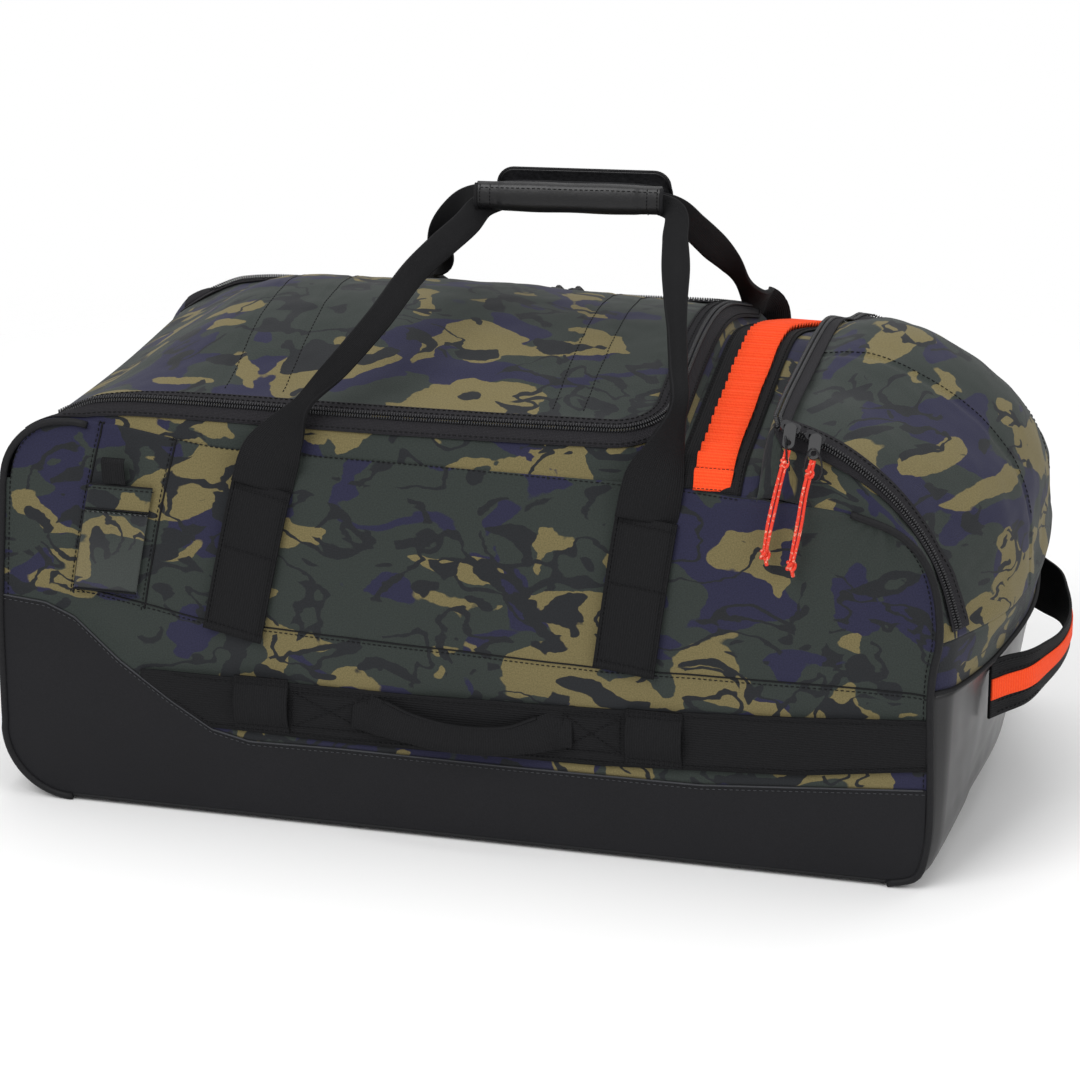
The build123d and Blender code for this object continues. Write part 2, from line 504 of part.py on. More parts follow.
# ---------------------------------------------------------------- wheels
def wheels(outer_shape):
    """Wheel housings, axles and the wheels that turn on them."""
    housings, axles = [], []
    for side, place in ((-1, "front"), (1, "back")):
        y = side * WHEEL_Y
        across = Plane(origin=(WHEEL_X, y, WHEEL_Z), z_dir=(0, 1, 0))
        bore = rod((WHEEL_X, y - HOUSING_WIDTH, WHEEL_Z), (0, 1, 0), 2 * HOUSING_WIDTH, AXLE_R)
        housings.append(trimmed(housing_block(side, 0.0), outer_shape, [housing_block(side, HOUSING_WALL), bore]))
        reach = HOUSING_WIDTH / 2
        axles.append(joined(rod((WHEEL_X, y - reach, WHEEL_Z), (0, 1, 0), 2 * reach, AXLE_R),
                            rod((WHEEL_X, y - reach - 3, WHEEL_Z), (0, 1, 0), 3, 2 * AXLE_R),
                            rod((WHEEL_X, y + reach, WHEEL_Z), (0, 1, 0), 3, 2 * AXLE_R),
                            *[rod((WHEEL_X, y + lead * (reach - HOUSING_WALL), WHEEL_Z), (0, -lead, 0),
                                  reach - HOUSING_WALL - WHEEL_WIDTH / 2 - GAP, AXLE_R + 2)
                              for lead in (-1, 1)]))
        rim_r = WHEEL_R - TYRE_THICK
        with BuildPart() as tyre:
            with BuildSketch(across):
                Circle(WHEEL_R)
                Circle(rim_r, mode=Mode.SUBTRACT)
            extrude(amount=WHEEL_WIDTH / 2, both=True)
            fillet(tyre.faces().filter_by(GeomType.CYLINDER).sort_by(SortBy.AREA)[-1].edges(), 5)
        save(tyre.part, f"{place}_tyre")
        with BuildPart() as hub:
            with BuildSketch(across):
                Circle(rim_r)
                Circle(BEARING_R, mode=Mode.SUBTRACT)
                with PolarLocations((BEARING_R + rim_r) / 2 + 1, 5):
                    Circle((rim_r - BEARING_R) / 2 - 3.5, mode=Mode.SUBTRACT)
            extrude(amount=WHEEL_WIDTH / 2 - 1, both=True)
        save(hub.part, f"{place}_hub")
        lead = WHEEL_WIDTH / 2 - 1 - BEARING_WIDTH
        bearings = [rod((WHEEL_X, y + edge, WHEEL_Z), (0, 1, 0), BEARING_WIDTH, BEARING_R, AXLE_R + RUNNING)
                    for edge in (lead, -lead - BEARING_WIDTH)]
        save(joined(*bearings), f"{place}_bearings")
    save(joined(*housings), "wheel_housings")
    save(joined(*axles), "axles")


# ---------------------------------------------------------------- webbing
def haul_straps():
    """Haul anchors, the two free straps and the wrap that holds them together."""
    half = WEBBING / 2
    lean = [(top - foot) / (HAUL_PIVOT_Z - HAUL_FOOT_Z) for foot, top in (HAUL_LEFT_X, HAUL_RIGHT_X)]
    anchors, bend_x = [], []
    for (foot, top), slope in zip((HAUL_LEFT_X, HAUL_RIGHT_X), lean):
        anchors.append(plate([(foot - half, HAUL_FOOT_Z), (foot + half, HAUL_FOOT_Z),
                              (top + half, HAUL_PIVOT_Z), (top - half, HAUL_PIVOT_Z)], -HALF_WIDTH, WEBBING_THICK))
        bend_x.append(top + slope * (HAUL_BEND_Z - HAUL_PIVOT_Z))
    front = joined(*anchors)
    save(joined(front, mirrored(front)), "haul_anchors")

    strap_y = -HALF_WIDTH - LAYER - GAP
    core_z = (WRAP_LOW_Z + WRAP_HIGH_Z) / 2
    core_y = -WRAP_HALF_DEPTH + WRAP_WALL + 0.5
    run = Vector(0, core_y + 4 - strap_y, core_z - HAUL_BEND_Z)
    slope_plane = Plane(origin=(0, strap_y - WEBBING_THICK, HAUL_BEND_Z), x_dir=(1, 0, 0),
                        z_dir=Vector(1, 0, 0).cross(run))
    wrap_ends = (WRAP_LEFT_X - half, WRAP_RIGHT_X + half)
    with BuildPart() as strap:
        for (_, top), bend, end in zip((HAUL_LEFT_X, HAUL_RIGHT_X), bend_x, wrap_ends):
            add(plate([(top - half, HAUL_PIVOT_Z + GAP), (top + half, HAUL_PIVOT_Z + GAP),
                       (bend + half, HAUL_BEND_Z + 1), (bend - half, HAUL_BEND_Z + 1)], strap_y, WEBBING_THICK))
            with BuildSketch(slope_plane):
                with BuildLine():
                    Polyline((bend - half, 0), (bend + half, 0), (end + half, run.length),
                             (end - half, run.length), close=True)
                make_face()
            extrude(amount=WEBBING_THICK)
        add(block((wrap_ends[0], wrap_ends[1]), (core_y, core_y + CORE_DEPTH), (core_z - 8, core_z + 8)))
    save(strap.part, "front_haul_strap")
    save(mirrored(strap.part), "back_haul_strap")

    with BuildPart() as wrap:
        with BuildSketch(Plane.YZ.offset(WRAP_LEFT_X)):
            with Locations((0, (WRAP_LOW_Z + WRAP_HIGH_Z) / 2)):
                RectangleRounded(2 * WRAP_HALF_DEPTH, WRAP_HIGH_Z - WRAP_LOW_Z, 9)
                RectangleRounded(2 * (WRAP_HALF_DEPTH - WRAP_WALL), WRAP_HIGH_Z - WRAP_LOW_Z - 2 * WRAP_WALL, 4,
                                 mode=Mode.SUBTRACT)
        extrude(amount=WRAP_RIGHT_X - WRAP_LEFT_X)
    save(wrap.part, "carry_wrap")
    flap_back = Plane.XZ.offset(-WRAP_HALF_DEPTH - 0.3)
    with BuildPart() as flap:
        with BuildSketch(flap_back):
            with Locations(((WRAP_LEFT_X + WRAP_RIGHT_X) / 2, (WRAP_LOW_Z + WRAP_HIGH_Z) / 2 + 2)):
                RectangleRounded(WRAP_RIGHT_X - WRAP_LEFT_X - 4, WRAP_HIGH_Z - WRAP_LOW_Z, 9)
        extrude(amount=-LAYER)
    save(flap.part, "wrap_flap")


def lash_webbing():
    """Lash bands with their loops, and the side handles that hang on them."""
    band = plate([(-250, 119), (-46, 119), (113, 123), (268, 131), (END_WALL_X - 4, 139), (END_WALL_X - 4, 97),
                  (269, 84), (113, 76), (-95, 73), (-196, 75)], -HALF_WIDTH, LAYER)
    loops = [plate([(x - 23, LASH_Z - half), (x + 23, LASH_Z - half), (x + 23, LASH_Z + half),
                    (x - 23, LASH_Z + half)], -HALF_WIDTH - LAYER, LAYER)
             for x, half in ((-158, 21), (156, 21))]
    front = joined(band, *loops)
    save(joined(front, mirrored(front)), "lash_bands")

    face_y = -HALF_WIDTH - LAYER
    droop = [(-70, 121), (-40, 113), (6, 106), (52, 112), (82, 121), (82, 91), (52, 80), (6, 74), (-40, 80), (-70, 88)]
    handle = plate(droop, face_y - HANDLE_STAND, 3)
    ends = [block((x, x + 7), (face_y - HANDLE_STAND, face_y - 0.3), (93, 118)) for x in (-70, 75)]
    handle = joined(handle, *ends)
    save(handle, "front_side_handle")
    save(mirrored(handle), "back_side_handle")


def end_grab(outer_shape):
    """The bowed webbing handle on the pull handle end, and its coloured stripe."""
    def bow(thick, low, high, extra):
        with BuildPart() as loop:
            with BuildSketch(Plane.XY.offset(low)):
                with BuildLine():
                    ThreePointArc((380, -GRAB_HALF_Y), (GRAB_OUT_X + extra, 0), (380, GRAB_HALF_Y))
                    ThreePointArc((380, -GRAB_HALF_Y + thick), (GRAB_OUT_X + extra - thick, 0),
                                  (380, GRAB_HALF_Y - thick))
                    Line((380, -GRAB_HALF_Y), (380, -GRAB_HALF_Y + thick))
                    Line((380, GRAB_HALF_Y), (380, GRAB_HALF_Y - thick))
                make_face()
            extrude(amount=high - low)
        return loop.part

    handle = trimmed(bow(3.5, GRAB_Z - WEBBING / 2, GRAB_Z + WEBBING / 2, 0), drop=[outer_shape])
    save(handle, "end_grab_handle")
    middle = block((GRAB_OUT_X - 14, FAR), (-FAR, FAR), (GRAB_Z - 7, GRAB_Z + 7))
    return trimmed(bow(5.0, GRAB_Z - 7, GRAB_Z + 7, 1.2), middle, [bow(40, 0, FAR, 0), handle])


def id_pocket():
    """Pocket for an address card, and the card with its pull tab."""
    def leaning(left, right, low, high):
        return [(left + POCKET_LEAN * (z - POCKET_LOW_Z), z) if first else (right + POCKET_LEAN * (z - POCKET_LOW_Z), z)
                for first, z in ((True, low), (True, high), (False, high), (False, low))]

    face_y = -HALF_WIDTH
    pocket = plate(leaning(POCKET_LEFT_X, POCKET_RIGHT_X, POCKET_LOW_Z, POCKET_HIGH_Z), face_y, 2.6)
    inside = leaning(POCKET_LEFT_X + POCKET_SEAM, POCKET_RIGHT_X - POCKET_SEAM, POCKET_LOW_Z + 8, POCKET_HIGH_Z + 2)
    save(trimmed(pocket, drop=[plate(inside, face_y + 0.1, 1.7)]), "id_pocket")
    room = POCKET_SEAM + 2
    card = plate(leaning(POCKET_LEFT_X + room, POCKET_RIGHT_X - room, POCKET_LOW_Z + 11, POCKET_HIGH_Z + 8),
                 face_y - 0.4, 0.8)
    tab = plate(leaning(TAB_LEFT_X, TAB_LEFT_X + TAB_WIDTH, POCKET_HIGH_Z + 4, POCKET_HIGH_Z + 23), face_y - 0.4, 1.2)
    save(joined(card, tab), "id_card")


def piping():
    """Rolled piping around the edges of the front and back walls."""
    with BuildPart() as roll:
        with BuildSketch(Plane.XZ.offset(HALF_WIDTH)):
            add(main_side(PIPING))
            add(main_side(0), mode=Mode.SUBTRACT)
        extrude(amount=PIPING)
        add(block((LEFT_X - 10, END_WALL_X - 20), (-FAR, FAR), (RUNNER_HEIGHT - PIPING, WALL_TOP_Z)),
            mode=Mode.INTERSECT)
        add(block((SPLIT_X - 30, FAR), (-FAR, FAR), (RUNNER_HEIGHT + 10, FAR)), mode=Mode.SUBTRACT)
    left = trimmed(roll.part, block((-FAR, SPLIT_X), (-FAR, FAR), (-FAR, FAR)))
    bottom = block((SPLIT_X, FLOOR_END_X), (-HALF_WIDTH - PIPING, -HALF_WIDTH), (RUNNER_HEIGHT - 1, RUNNER_HEIGHT + 1))
    upright = block((END_WALL_X - PIPING, END_WALL_X), (-HALF_WIDTH - PIPING, -HALF_WIDTH), (38, 158))
    front = joined(left, bottom, upright)
    save(joined(front, mirrored(front)), "piping")


# ---------------------------------------------------------------- sliders and pulls
def slider(seat):
    """A zipper slider: a rounded body with a bail across it."""
    with BuildPart() as body:
        with BuildSketch(seat):
            RectangleRounded(SLIDER_LENGTH, SLIDER_WIDTH, 3)
        extrude(amount=SLIDER_THICK)
        with BuildSketch(seat.offset(SLIDER_THICK)):
            Rectangle(SLIDER_LENGTH - 5, 3)
        extrude(amount=2.5)
    return body.part


def pull(seat, length):
    """A zipper pull: an oval tab that hangs along the seat's x direction."""
    with BuildPart() as tab:
        with BuildSketch(seat):
            with Locations((length / 2, 0)):
                RectangleRounded(length, PULL_WIDTH, PULL_WIDTH / 2 - 0.2)
            with Locations((length - PULL_WIDTH / 2, 0)):
                Circle(PULL_EYE_R, mode=Mode.SUBTRACT)
        extrude(amount=PULL_THICK)
    return tab.part


def sliders():
    """Sliders of the main lid, on its back edge, and of the end flap, at the front arch."""
    radius = (SHOULDER_Y ** 2 + (CROWN_Z - SHOULDER_Z) ** 2) / (2 * (CROWN_Z - SHOULDER_Z))
    chain_z = CROWN_Z - radius + sqrt(radius ** 2 - LID_HALF_WIDTH ** 2)
    normal = Vector(0, LID_HALF_WIDTH, chain_z - CROWN_Z + radius).normalized()
    lift = LAYER + TEETH_HEIGHT + SLIDER_CLEAR
    for x, name in ((LID_SLIDER_X, "lid_slider_left"), (LID_SLIDER_X + SLIDER_LENGTH + 2, "lid_slider_right")):
        seat = Plane(origin=Vector(x, LID_HALF_WIDTH, chain_z) + normal * lift, x_dir=(1, 0, 0), z_dir=normal)
        body = slider(seat)
        start = Vector(x, LID_HALF_WIDTH, chain_z) + normal * (lift + SLIDER_THICK + 2.5)
        hang = Plane(origin=start, x_dir=(0, 0.75, -0.661), z_dir=(0, 0.661, 0.75))
        save(joined(body, pull(hang, PULL_LENGTH)), name)

    pulls = {}
    for angle, name in ((ARCH_ANGLES[0] - 1, "upper"), (ARCH_ANGLES[0] - 7, "lower")):
        out = Vector(cos(radians(angle)), 0, sin(radians(angle)))
        tilt = radians(35)
        normal = out * cos(tilt) + Vector(0, -sin(tilt), 0)
        foot = Vector(ARCH_X, -ARCH_Y, ARCH_Z) + out * ARCH_R
        along = Vector(sin(radians(angle)), 0, -cos(radians(angle)))
        seat = Plane(origin=foot + normal * (lift + 0.6), x_dir=along, z_dir=normal)
        save(slider(seat), f"{name}_slider")
        pulls[name] = foot + normal * (lift + 0.6 + SLIDER_THICK + 3.9)
    for name, start in pulls.items():
        fall = Vector(*PULL_FALL)
        hang = Plane(origin=start, x_dir=fall, z_dir=fall.cross(Vector(1, 0, 0)))
        tab = pull(hang, PULL_LENGTH - 4)
        save(tab, f"{name}_pull")
        eye = start + fall * (PULL_LENGTH - 4) + Vector(0, 0, -GAP)
        print(name, "pull pivot", start, "cord start", eye)
        points = [eye] + [Vector(*p) for p in CORD_POINTS[name]]
        runs = [(q - p).length for p, q in zip(points, points[1:])]
        turns = [(q - p).get_angle(r - q) for p, q, r in zip(points, points[1:], points[2:])]
        radii = [0.45 * min(runs[i], runs[i + 1]) / tan(radians(turns[i] / 2)) for i in range(len(turns))]
        print(name, "cord radii", [round(r, 1) for r in radii], "length", round(sum(runs), 1))
        with BuildPart() as cord:
            with BuildLine() as path:
                FilletPolyline(*points, radius=radii)
            with BuildSketch(Plane(origin=points[0], z_dir=points[1] - points[0])):
                Circle(CORD_R)
            sweep()
            with Locations(points[-1] + (points[-1] - points[-2]).normalized() * (KNOT_R - CORD_R / 2)):
                Sphere(KNOT_R)
        save(cord.part, f"{name}_cord")


if __name__ == "__main__":
    os.makedirs(PARTS, exist_ok=True)
    outer = envelope(0)
    shell = trimmed(outer, drop=[envelope(-WALL)])
    fabric_panels(shell)
    skin = envelope(LAYER)
    tape_skin = trimmed(skin, drop=[outer])
    teeth_skin = trimmed(envelope(LAYER + TEETH_HEIGHT), drop=[skin])
    zippers(tape_skin, teeth_skin)
    above_walls = (WALL_TOP_Z, FAR)
    save(trimmed(tape_skin, block((BAND_LEFT_X, BAND_RIGHT_X), (-FAR, FAR), above_walls)), "black_band")
    stripe = trimmed(teeth_skin, block((STRIPE_LEFT_X, STRIPE_RIGHT_X), (-FAR, FAR), above_walls))
    save(joined(stripe, end_grab(outer)), "orange_webbing")
    base()
    pull_handle(outer)
    wheels(outer)
    haul_straps()
    lash_webbing()
    id_pocket()
    piping()
    sliders()
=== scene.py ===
"""Rolling duffel bag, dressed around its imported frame.

The sewn panels, webbing, zippers, handles and cords are surfaces worked out with numpy in
millimetres, each laid on one shared description of the bag's shape, and turned into metres
when they become meshes.  Hard parts stay as the frame has them and only get a finish.
"""

import logging
import math
from dataclasses import dataclass, field
from enum import Enum
from typing import Any, Iterable, Sequence

import bpy
import numpy as np
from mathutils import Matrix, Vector
from mathutils.bvhtree import BVHTree


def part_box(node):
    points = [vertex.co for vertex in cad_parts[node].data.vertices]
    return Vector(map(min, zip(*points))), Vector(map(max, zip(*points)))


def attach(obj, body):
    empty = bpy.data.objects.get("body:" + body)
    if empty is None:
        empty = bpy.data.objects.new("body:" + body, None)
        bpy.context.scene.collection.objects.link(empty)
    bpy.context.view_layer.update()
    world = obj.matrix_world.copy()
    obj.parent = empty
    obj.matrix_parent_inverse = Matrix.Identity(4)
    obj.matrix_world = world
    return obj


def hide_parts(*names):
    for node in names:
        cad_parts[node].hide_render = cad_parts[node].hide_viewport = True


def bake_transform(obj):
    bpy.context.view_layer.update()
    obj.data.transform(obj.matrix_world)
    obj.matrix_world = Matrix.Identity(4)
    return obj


Array = np.ndarray
MM = 0.001
LOG = logging.getLogger("duffel")
CENTRE = np.array([0.0, 0.0, 180.0])

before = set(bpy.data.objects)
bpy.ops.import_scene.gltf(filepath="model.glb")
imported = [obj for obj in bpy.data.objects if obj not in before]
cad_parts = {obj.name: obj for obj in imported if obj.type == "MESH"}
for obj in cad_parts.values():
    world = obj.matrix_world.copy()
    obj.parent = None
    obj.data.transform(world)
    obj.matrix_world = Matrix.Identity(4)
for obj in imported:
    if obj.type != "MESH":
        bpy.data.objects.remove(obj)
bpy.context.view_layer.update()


class Side(Enum):
    """Front or back of the bag, as the sign of Y."""

    FRONT = -1
    BACK = 1

    @property
    def word(self) -> str:
        """The side's name in lower case."""
        return self.name.lower()


# ------------------------------------------------------------------ curves and grids
def smooth(value: Array | float) -> Array:
    """Ease from 0 to 1: three times the square less twice the cube."""
    t = np.clip(value, 0.0, 1.0)
    return t * t * (3.0 - 2.0 * t)


def spline(knots: Sequence[float], values: Any, at: Any, tight: bool = False) -> Array:
    """A smooth curve through values: on each span a cubic with slopes from the neighbours.

    Args:
        knots: increasing positions of the values.
        values: the values, with any number of trailing dimensions.
        at: positions to read the curve at.
        tight: take the gentler neighbouring slope, so that the curve never swings past a value.

    Returns:
        The curve's values, one row for each position.
    """
    k, v, a = (np.asarray(x, float) for x in (knots, values, at))
    slope = np.gradient(v, k, axis=0)
    if tight:
        steps = np.diff(v, axis=0) / np.diff(k).reshape((-1,) + (1,) * (v.ndim - 1))
        both = steps[:-1] * steps[1:]
        slope[1:-1] = 2 * both / np.where(both > 0, steps[:-1] + steps[1:], 1.0) * (both > 0)
    i = np.clip(np.searchsorted(k, a, side="right") - 1, 0, len(k) - 2)
    span = k[i + 1] - k[i]
    shape = (...,) + (None,) * (v.ndim - 1)
    t, h = ((np.clip(a, k[0], k[-1]) - k[i]) / span)[shape], span[shape]
    return ((2 * t ** 3 - 3 * t ** 2 + 1) * v[i] + (t ** 3 - 2 * t ** 2 + t) * h * slope[i]
            + (3 * t ** 2 - 2 * t ** 3) * v[i + 1] + (t ** 3 - t ** 2) * h * slope[i + 1])


def unit(vectors: Array) -> Array:
    """Vectors scaled to length one."""
    return vectors / np.maximum(np.linalg.norm(vectors, axis=-1, keepdims=True), 1e-9)


def along(points: Array) -> Array:
    """Distance along a path, from its first point."""
    return np.concatenate([[0.0], np.cumsum(np.linalg.norm(np.diff(points, axis=0), axis=1))])


def resampled(points: Any, step: float) -> Array:
    """The path again, smooth and with points about step apart.

    Args:
        points: the line's points.
        step: about how far apart the new ones are.

    Returns:
        Evenly spaced points, the ends kept.
    """
    raw = np.asarray(points, float)
    fine = spline(along(raw), raw, np.linspace(0, along(raw)[-1], 24 * len(raw)))
    at = along(fine)
    even = np.linspace(0, at[-1], max(3, int(round(at[-1] / step)) + 1))
    return np.stack([np.interp(even, at, fine[:, k]) for k in range(fine.shape[1])], axis=1)


def grid_normals(points: Array, away: Array = CENTRE) -> Array:
    """Unit normals of a grid of points, all turned away from one place.

    Args:
        points: the grid, rows by columns by three, in millimetres.
        away: the place that they turn away from.

    Returns:
        One unit vector for each point.
    """
    normal = unit(np.cross(np.gradient(points, axis=1), np.gradient(points, axis=0)))
    turn = np.sign(np.sum(normal * (points - away)))
    return normal * (turn if turn else 1.0)


def measured(grid: Array, axis: int) -> Array:
    """Distance run along one direction of a grid of points, from its first edge."""
    return np.cumsum(np.linalg.norm(np.gradient(grid, axis=axis), axis=-1), axis=axis)


def same(direction: Sequence[float], path: Array) -> Array:
    """One direction for every point of a path."""
    return np.broadcast_to(np.asarray(direction, float), path.shape)


@dataclass(frozen=True)
class Creases:
    """Soft creases: a sum of sine waves with seeded directions and lengths.

    The depth at a point is half the sum of one and the scaled sum of sines, times the
    amplitude, so it is never negative: cloth is only ever pressed in.
    """

    seed: int
    amplitude: float
    wavelength: float
    stretch: tuple[float, float, float] = (1.0, 1.0, 1.0)
    waves: int = 22

    def depth(self, points: Array) -> Array:
        """How far each point is pressed in, in millimetres.

        Args:
            points: places in millimetres, in any shape that ends in three.

        Returns:
            One depth for each place.
        """
        draw = np.random.default_rng(self.seed)
        turns = unit(draw.normal(size=(self.waves, 3))) / np.array(self.stretch)
        turns *= (2 * np.pi / self.wavelength) * draw.uniform(0.6, 1.7, (self.waves, 1))
        phase = draw.uniform(0, 2 * np.pi, self.waves)
        total = np.sin(points @ turns.T + phase).sum(-1) / math.sqrt(self.waves)
        return self.amplitude * np.clip(0.5 + 0.35 * total, 0.0, 1.2)


def pressed(points: Array, creases: Iterable[Creases], pinned: float = 0.08) -> Array:
    """A grid pressed in by creases that fade out towards its edges.

    Args:
        points: the grid, rows by columns by three.
        creases: what presses it in.
        pinned: the share of each side over which the creases fade in.

    Returns:
        The grid, moved along its normals.
    """
    rows, cols = points.shape[:2]
    fade_r = smooth(np.minimum(np.linspace(0, 1, rows), np.linspace(1, 0, rows)) / pinned)
    fade_c = smooth(np.minimum(np.linspace(0, 1, cols), np.linspace(1, 0, cols)) / pinned)
    depth = sum(crease.depth(points) for crease in creases)
    return points - grid_normals(points) * (depth * fade_r[:, None] * fade_c)[..., None]


# ------------------------------------------------------------------ meshes
@dataclass
class Surface:
    """Points, faces and flat coordinates of one mesh, in millimetres."""

    points: Array
    faces: list[tuple[int, ...]]
    flat: Array

    def __add__(self, other: "Surface") -> "Surface":
        """Both surfaces as one.

        Args:
            other: the surface that is added.

        Returns:
            A new surface with the faces of both.
        """
        shift = len(self.points)
        moved = [tuple(i + shift for i in face) for face in other.faces]
        return Surface(np.vstack([self.points, other.points]), self.faces + moved,
                       np.vstack([self.flat, other.flat]))


def grid_faces(rows: int, cols: int, keep: Array | None = None, ring: bool = False) -> Array:
    """Quads of a grid of points: each joins a point to its right, lower right and lower one.

    Args:
        rows: rows of points.
        cols: points in a row.
        keep: which cells stay.
        ring: whether each row closes on itself.

    Returns:
        One row of four point numbers for each face.
    """
    index = np.arange(rows * cols).reshape(rows, cols)
    if ring:
        index = np.hstack([index, index[:, :1]])
    quads = np.stack([index[:-1, :-1], index[:-1, 1:], index[1:, 1:], index[1:, :-1]], -1)
    return quads[keep] if keep is not None else quads.reshape(-1, 4)


def sheet_surface(points: Array, flat: Array, keep: Array | None = None,
                  away: Array = CENTRE) -> Surface:
    """An open sheet from a grid of points, its faces turned away from one place.

    Args:
        points: the grid, rows by columns by three, in millimetres.
        flat: flat coordinates, rows by columns by two.
        keep: which cells stay.
        away: the place that the faces turn away from.

    Returns:
        The sheet.
    """
    rows, cols = points.shape[:2]
    faces = grid_faces(rows, cols, keep)
    normal = np.cross(np.gradient(points, axis=1), np.gradient(points, axis=0))
    if np.sum(normal * (points - away)) > 0:
        faces = faces[:, ::-1]
    faces = faces[:, ::-1]
    return Surface(points.reshape(-1, 3), [tuple(f) for f in faces.tolist()],
                   flat.reshape(-1, 2))


def settled(line: Array, cloth: Surface, lift: float = 0.15) -> Array:
    """A line moved to the nearest places of a cloth, and lifted off along its normals.

    Args:
        line: points near the cloth.
        cloth: the surface that they settle on.
        lift: height over it.

    Returns:
        As many points, on the cloth.
    """
    tree = BVHTree.FromPolygons(cloth.points.tolist(), cloth.faces)
    near = [tree.find_nearest(point)[:2] for point in line.tolist()]
    return np.array([place + normal * lift for place, normal in near])


def swept(path: Array, across: Array, up: Array, profile: Array) -> Surface:
    """A closed profile carried along a path: path plus across times its first number plus
    up times its second, with both ends closed.

    Args:
        path: the path's points.
        across: unit vectors across the path, one for each point.
        up: unit vectors off the face, one for each point.
        profile: closed outline, points by two, or one such outline for each path point.

    Returns:
        The closed surface.
    """
    shape = np.broadcast_to(profile, (len(path),) + profile.shape[-2:])
    points = path[:, None] + across[:, None] * shape[..., :1] + up[:, None] * shape[..., 1:]
    rows, cols = points.shape[:2]
    tangent = np.gradient(path, axis=0)
    area = np.sum(shape[0, :, 0] * np.roll(shape[0, :, 1], -1)
                  - shape[0, :, 1] * np.roll(shape[0, :, 0], -1))
    handed = np.sign(area) * np.sign(np.sum(np.cross(across, up) * tangent))
    faces = [tuple(f) for f in grid_faces(rows, cols, ring=True).tolist()]
    last = (rows - 1) * cols
    faces += [tuple(range(cols))[::-1], tuple(range(last, last + cols))]
    if handed < 0:
        faces = [face[::-1] for face in faces]
    around = np.concatenate([[0], np.cumsum(np.hypot(*np.diff(shape[0], axis=0).T))])
    flat = np.stack(np.meshgrid(around, along(path)), -1)
    return Surface(points.reshape(-1, 3), faces, flat.reshape(-1, 2))


def circle(radius: float, sides: int = 10) -> Array:
    """A round outline."""
    angle = np.linspace(0, 2 * np.pi, sides, endpoint=False)
    return radius * np.stack([np.cos(angle), np.sin(angle)], -1)


def strap_outline(width: Any, thick: Any, rounds: float = 0.45) -> Array:
    """Outline of webbing: a flat bar with rounded edges, one for each width given.

    Args:
        width: one width, or one for each path point.
        thick: thickness, in the same way.
        rounds: share of half the thickness that the edges round over.

    Returns:
        One outline of twelve points, or one for each path point.
    """
    w, t = np.broadcast_arrays(np.atleast_1d(width).astype(float), np.atleast_1d(thick))
    w, t = w / 2, t / 2
    edge = np.minimum(t, w) * rounds
    x = np.stack([-w, -w + edge, -w / 3, w / 3, w - edge, w, w, w - edge, w / 3, -w / 3,
                  -w + edge, -w], -1)
    z = np.stack([-t + edge, -t, -t, -t, -t, -t + edge, t - edge, t, t, t, t, t - edge], -1)
    outline = np.stack([x, z], -1)
    return outline if len(outline) > 1 else outline[0]


def sides_of(path: Array, up: Any) -> tuple[Array, Array]:
    """Unit vectors across and off the face of a path, from a rough way up.

    Args:
        path: the path's points.
        up: a rough way up, one for all or one for each point.

    Returns:
        Vectors across the path, and vectors off the face.
    """
    tangent = unit(np.gradient(path, axis=0))
    across = unit(np.cross(tangent, np.broadcast_to(np.asarray(up, float), path.shape)))
    return across, np.cross(across, tangent)


def tube(path: Any, radius: float, up: Any = (0.13, 0.21, 0.97), sides: int = 10) -> Surface:
    """A round tube along a path.

    Args:
        path: the tube's middle line.
        radius: its radius.
        up: a direction that is never along the path.
        sides: sides of its outline.

    Returns:
        The closed surface.
    """
    line = np.asarray(path, float)
    across, off = sides_of(line, up)
    return swept(line, across, off, circle(radius, sides))


def bar_shape(length: float, width: float, height: float) -> tuple[Array, list[tuple[int, ...]]]:
    """A short bar with narrowed top, standing on z 0: for zipper teeth.

    Args:
        length: size along x.
        width: size along y.
        height: size along z.

    Returns:
        Its points and faces.
    """
    low, high = np.array([1.0, 1.0]), np.array([0.62, 0.62])
    corners = np.array([(-1, -1), (1, -1), (1, 1), (-1, 1)]) / 2
    rings = [np.column_stack([corners * k * (length, width), np.full(4, z)])
             for k, z in ((low, 0.0), (low, height * 0.5), (high, height))]
    faces = [(0, 3, 2, 1), (8, 9, 10, 11)]
    faces += [(a + r, b + r, b + r + 4, a + r + 4) for r in (0, 4)
              for a, b in ((0, 1), (1, 2), (2, 3), (3, 0))]
    return np.vstack(rings), faces


def stitch_shape(length: float, radius: float) -> tuple[Array, list[tuple[int, ...]]]:
    """One stitch: a five-sided spindle with blunt ends, lying along x.

    Args:
        length: size along x.
        radius: half its thickness.

    Returns:
        Its points and faces.
    """
    ring = circle(radius, 5)
    middle = [np.column_stack([np.full(5, x), ring]) for x in (-0.32 * length, 0.32 * length)]
    points = np.vstack([[-length / 2, 0, 0], *middle, [length / 2, 0, 0]])
    nxt = [(i, (i + 1) % 5) for i in range(5)]
    faces = [(0, 1 + b, 1 + a) for a, b in nxt] + [(11, 6 + a, 6 + b) for a, b in nxt]
    faces += [(1 + a, 1 + b, 6 + b, 6 + a) for a, b in nxt]
    return points, faces


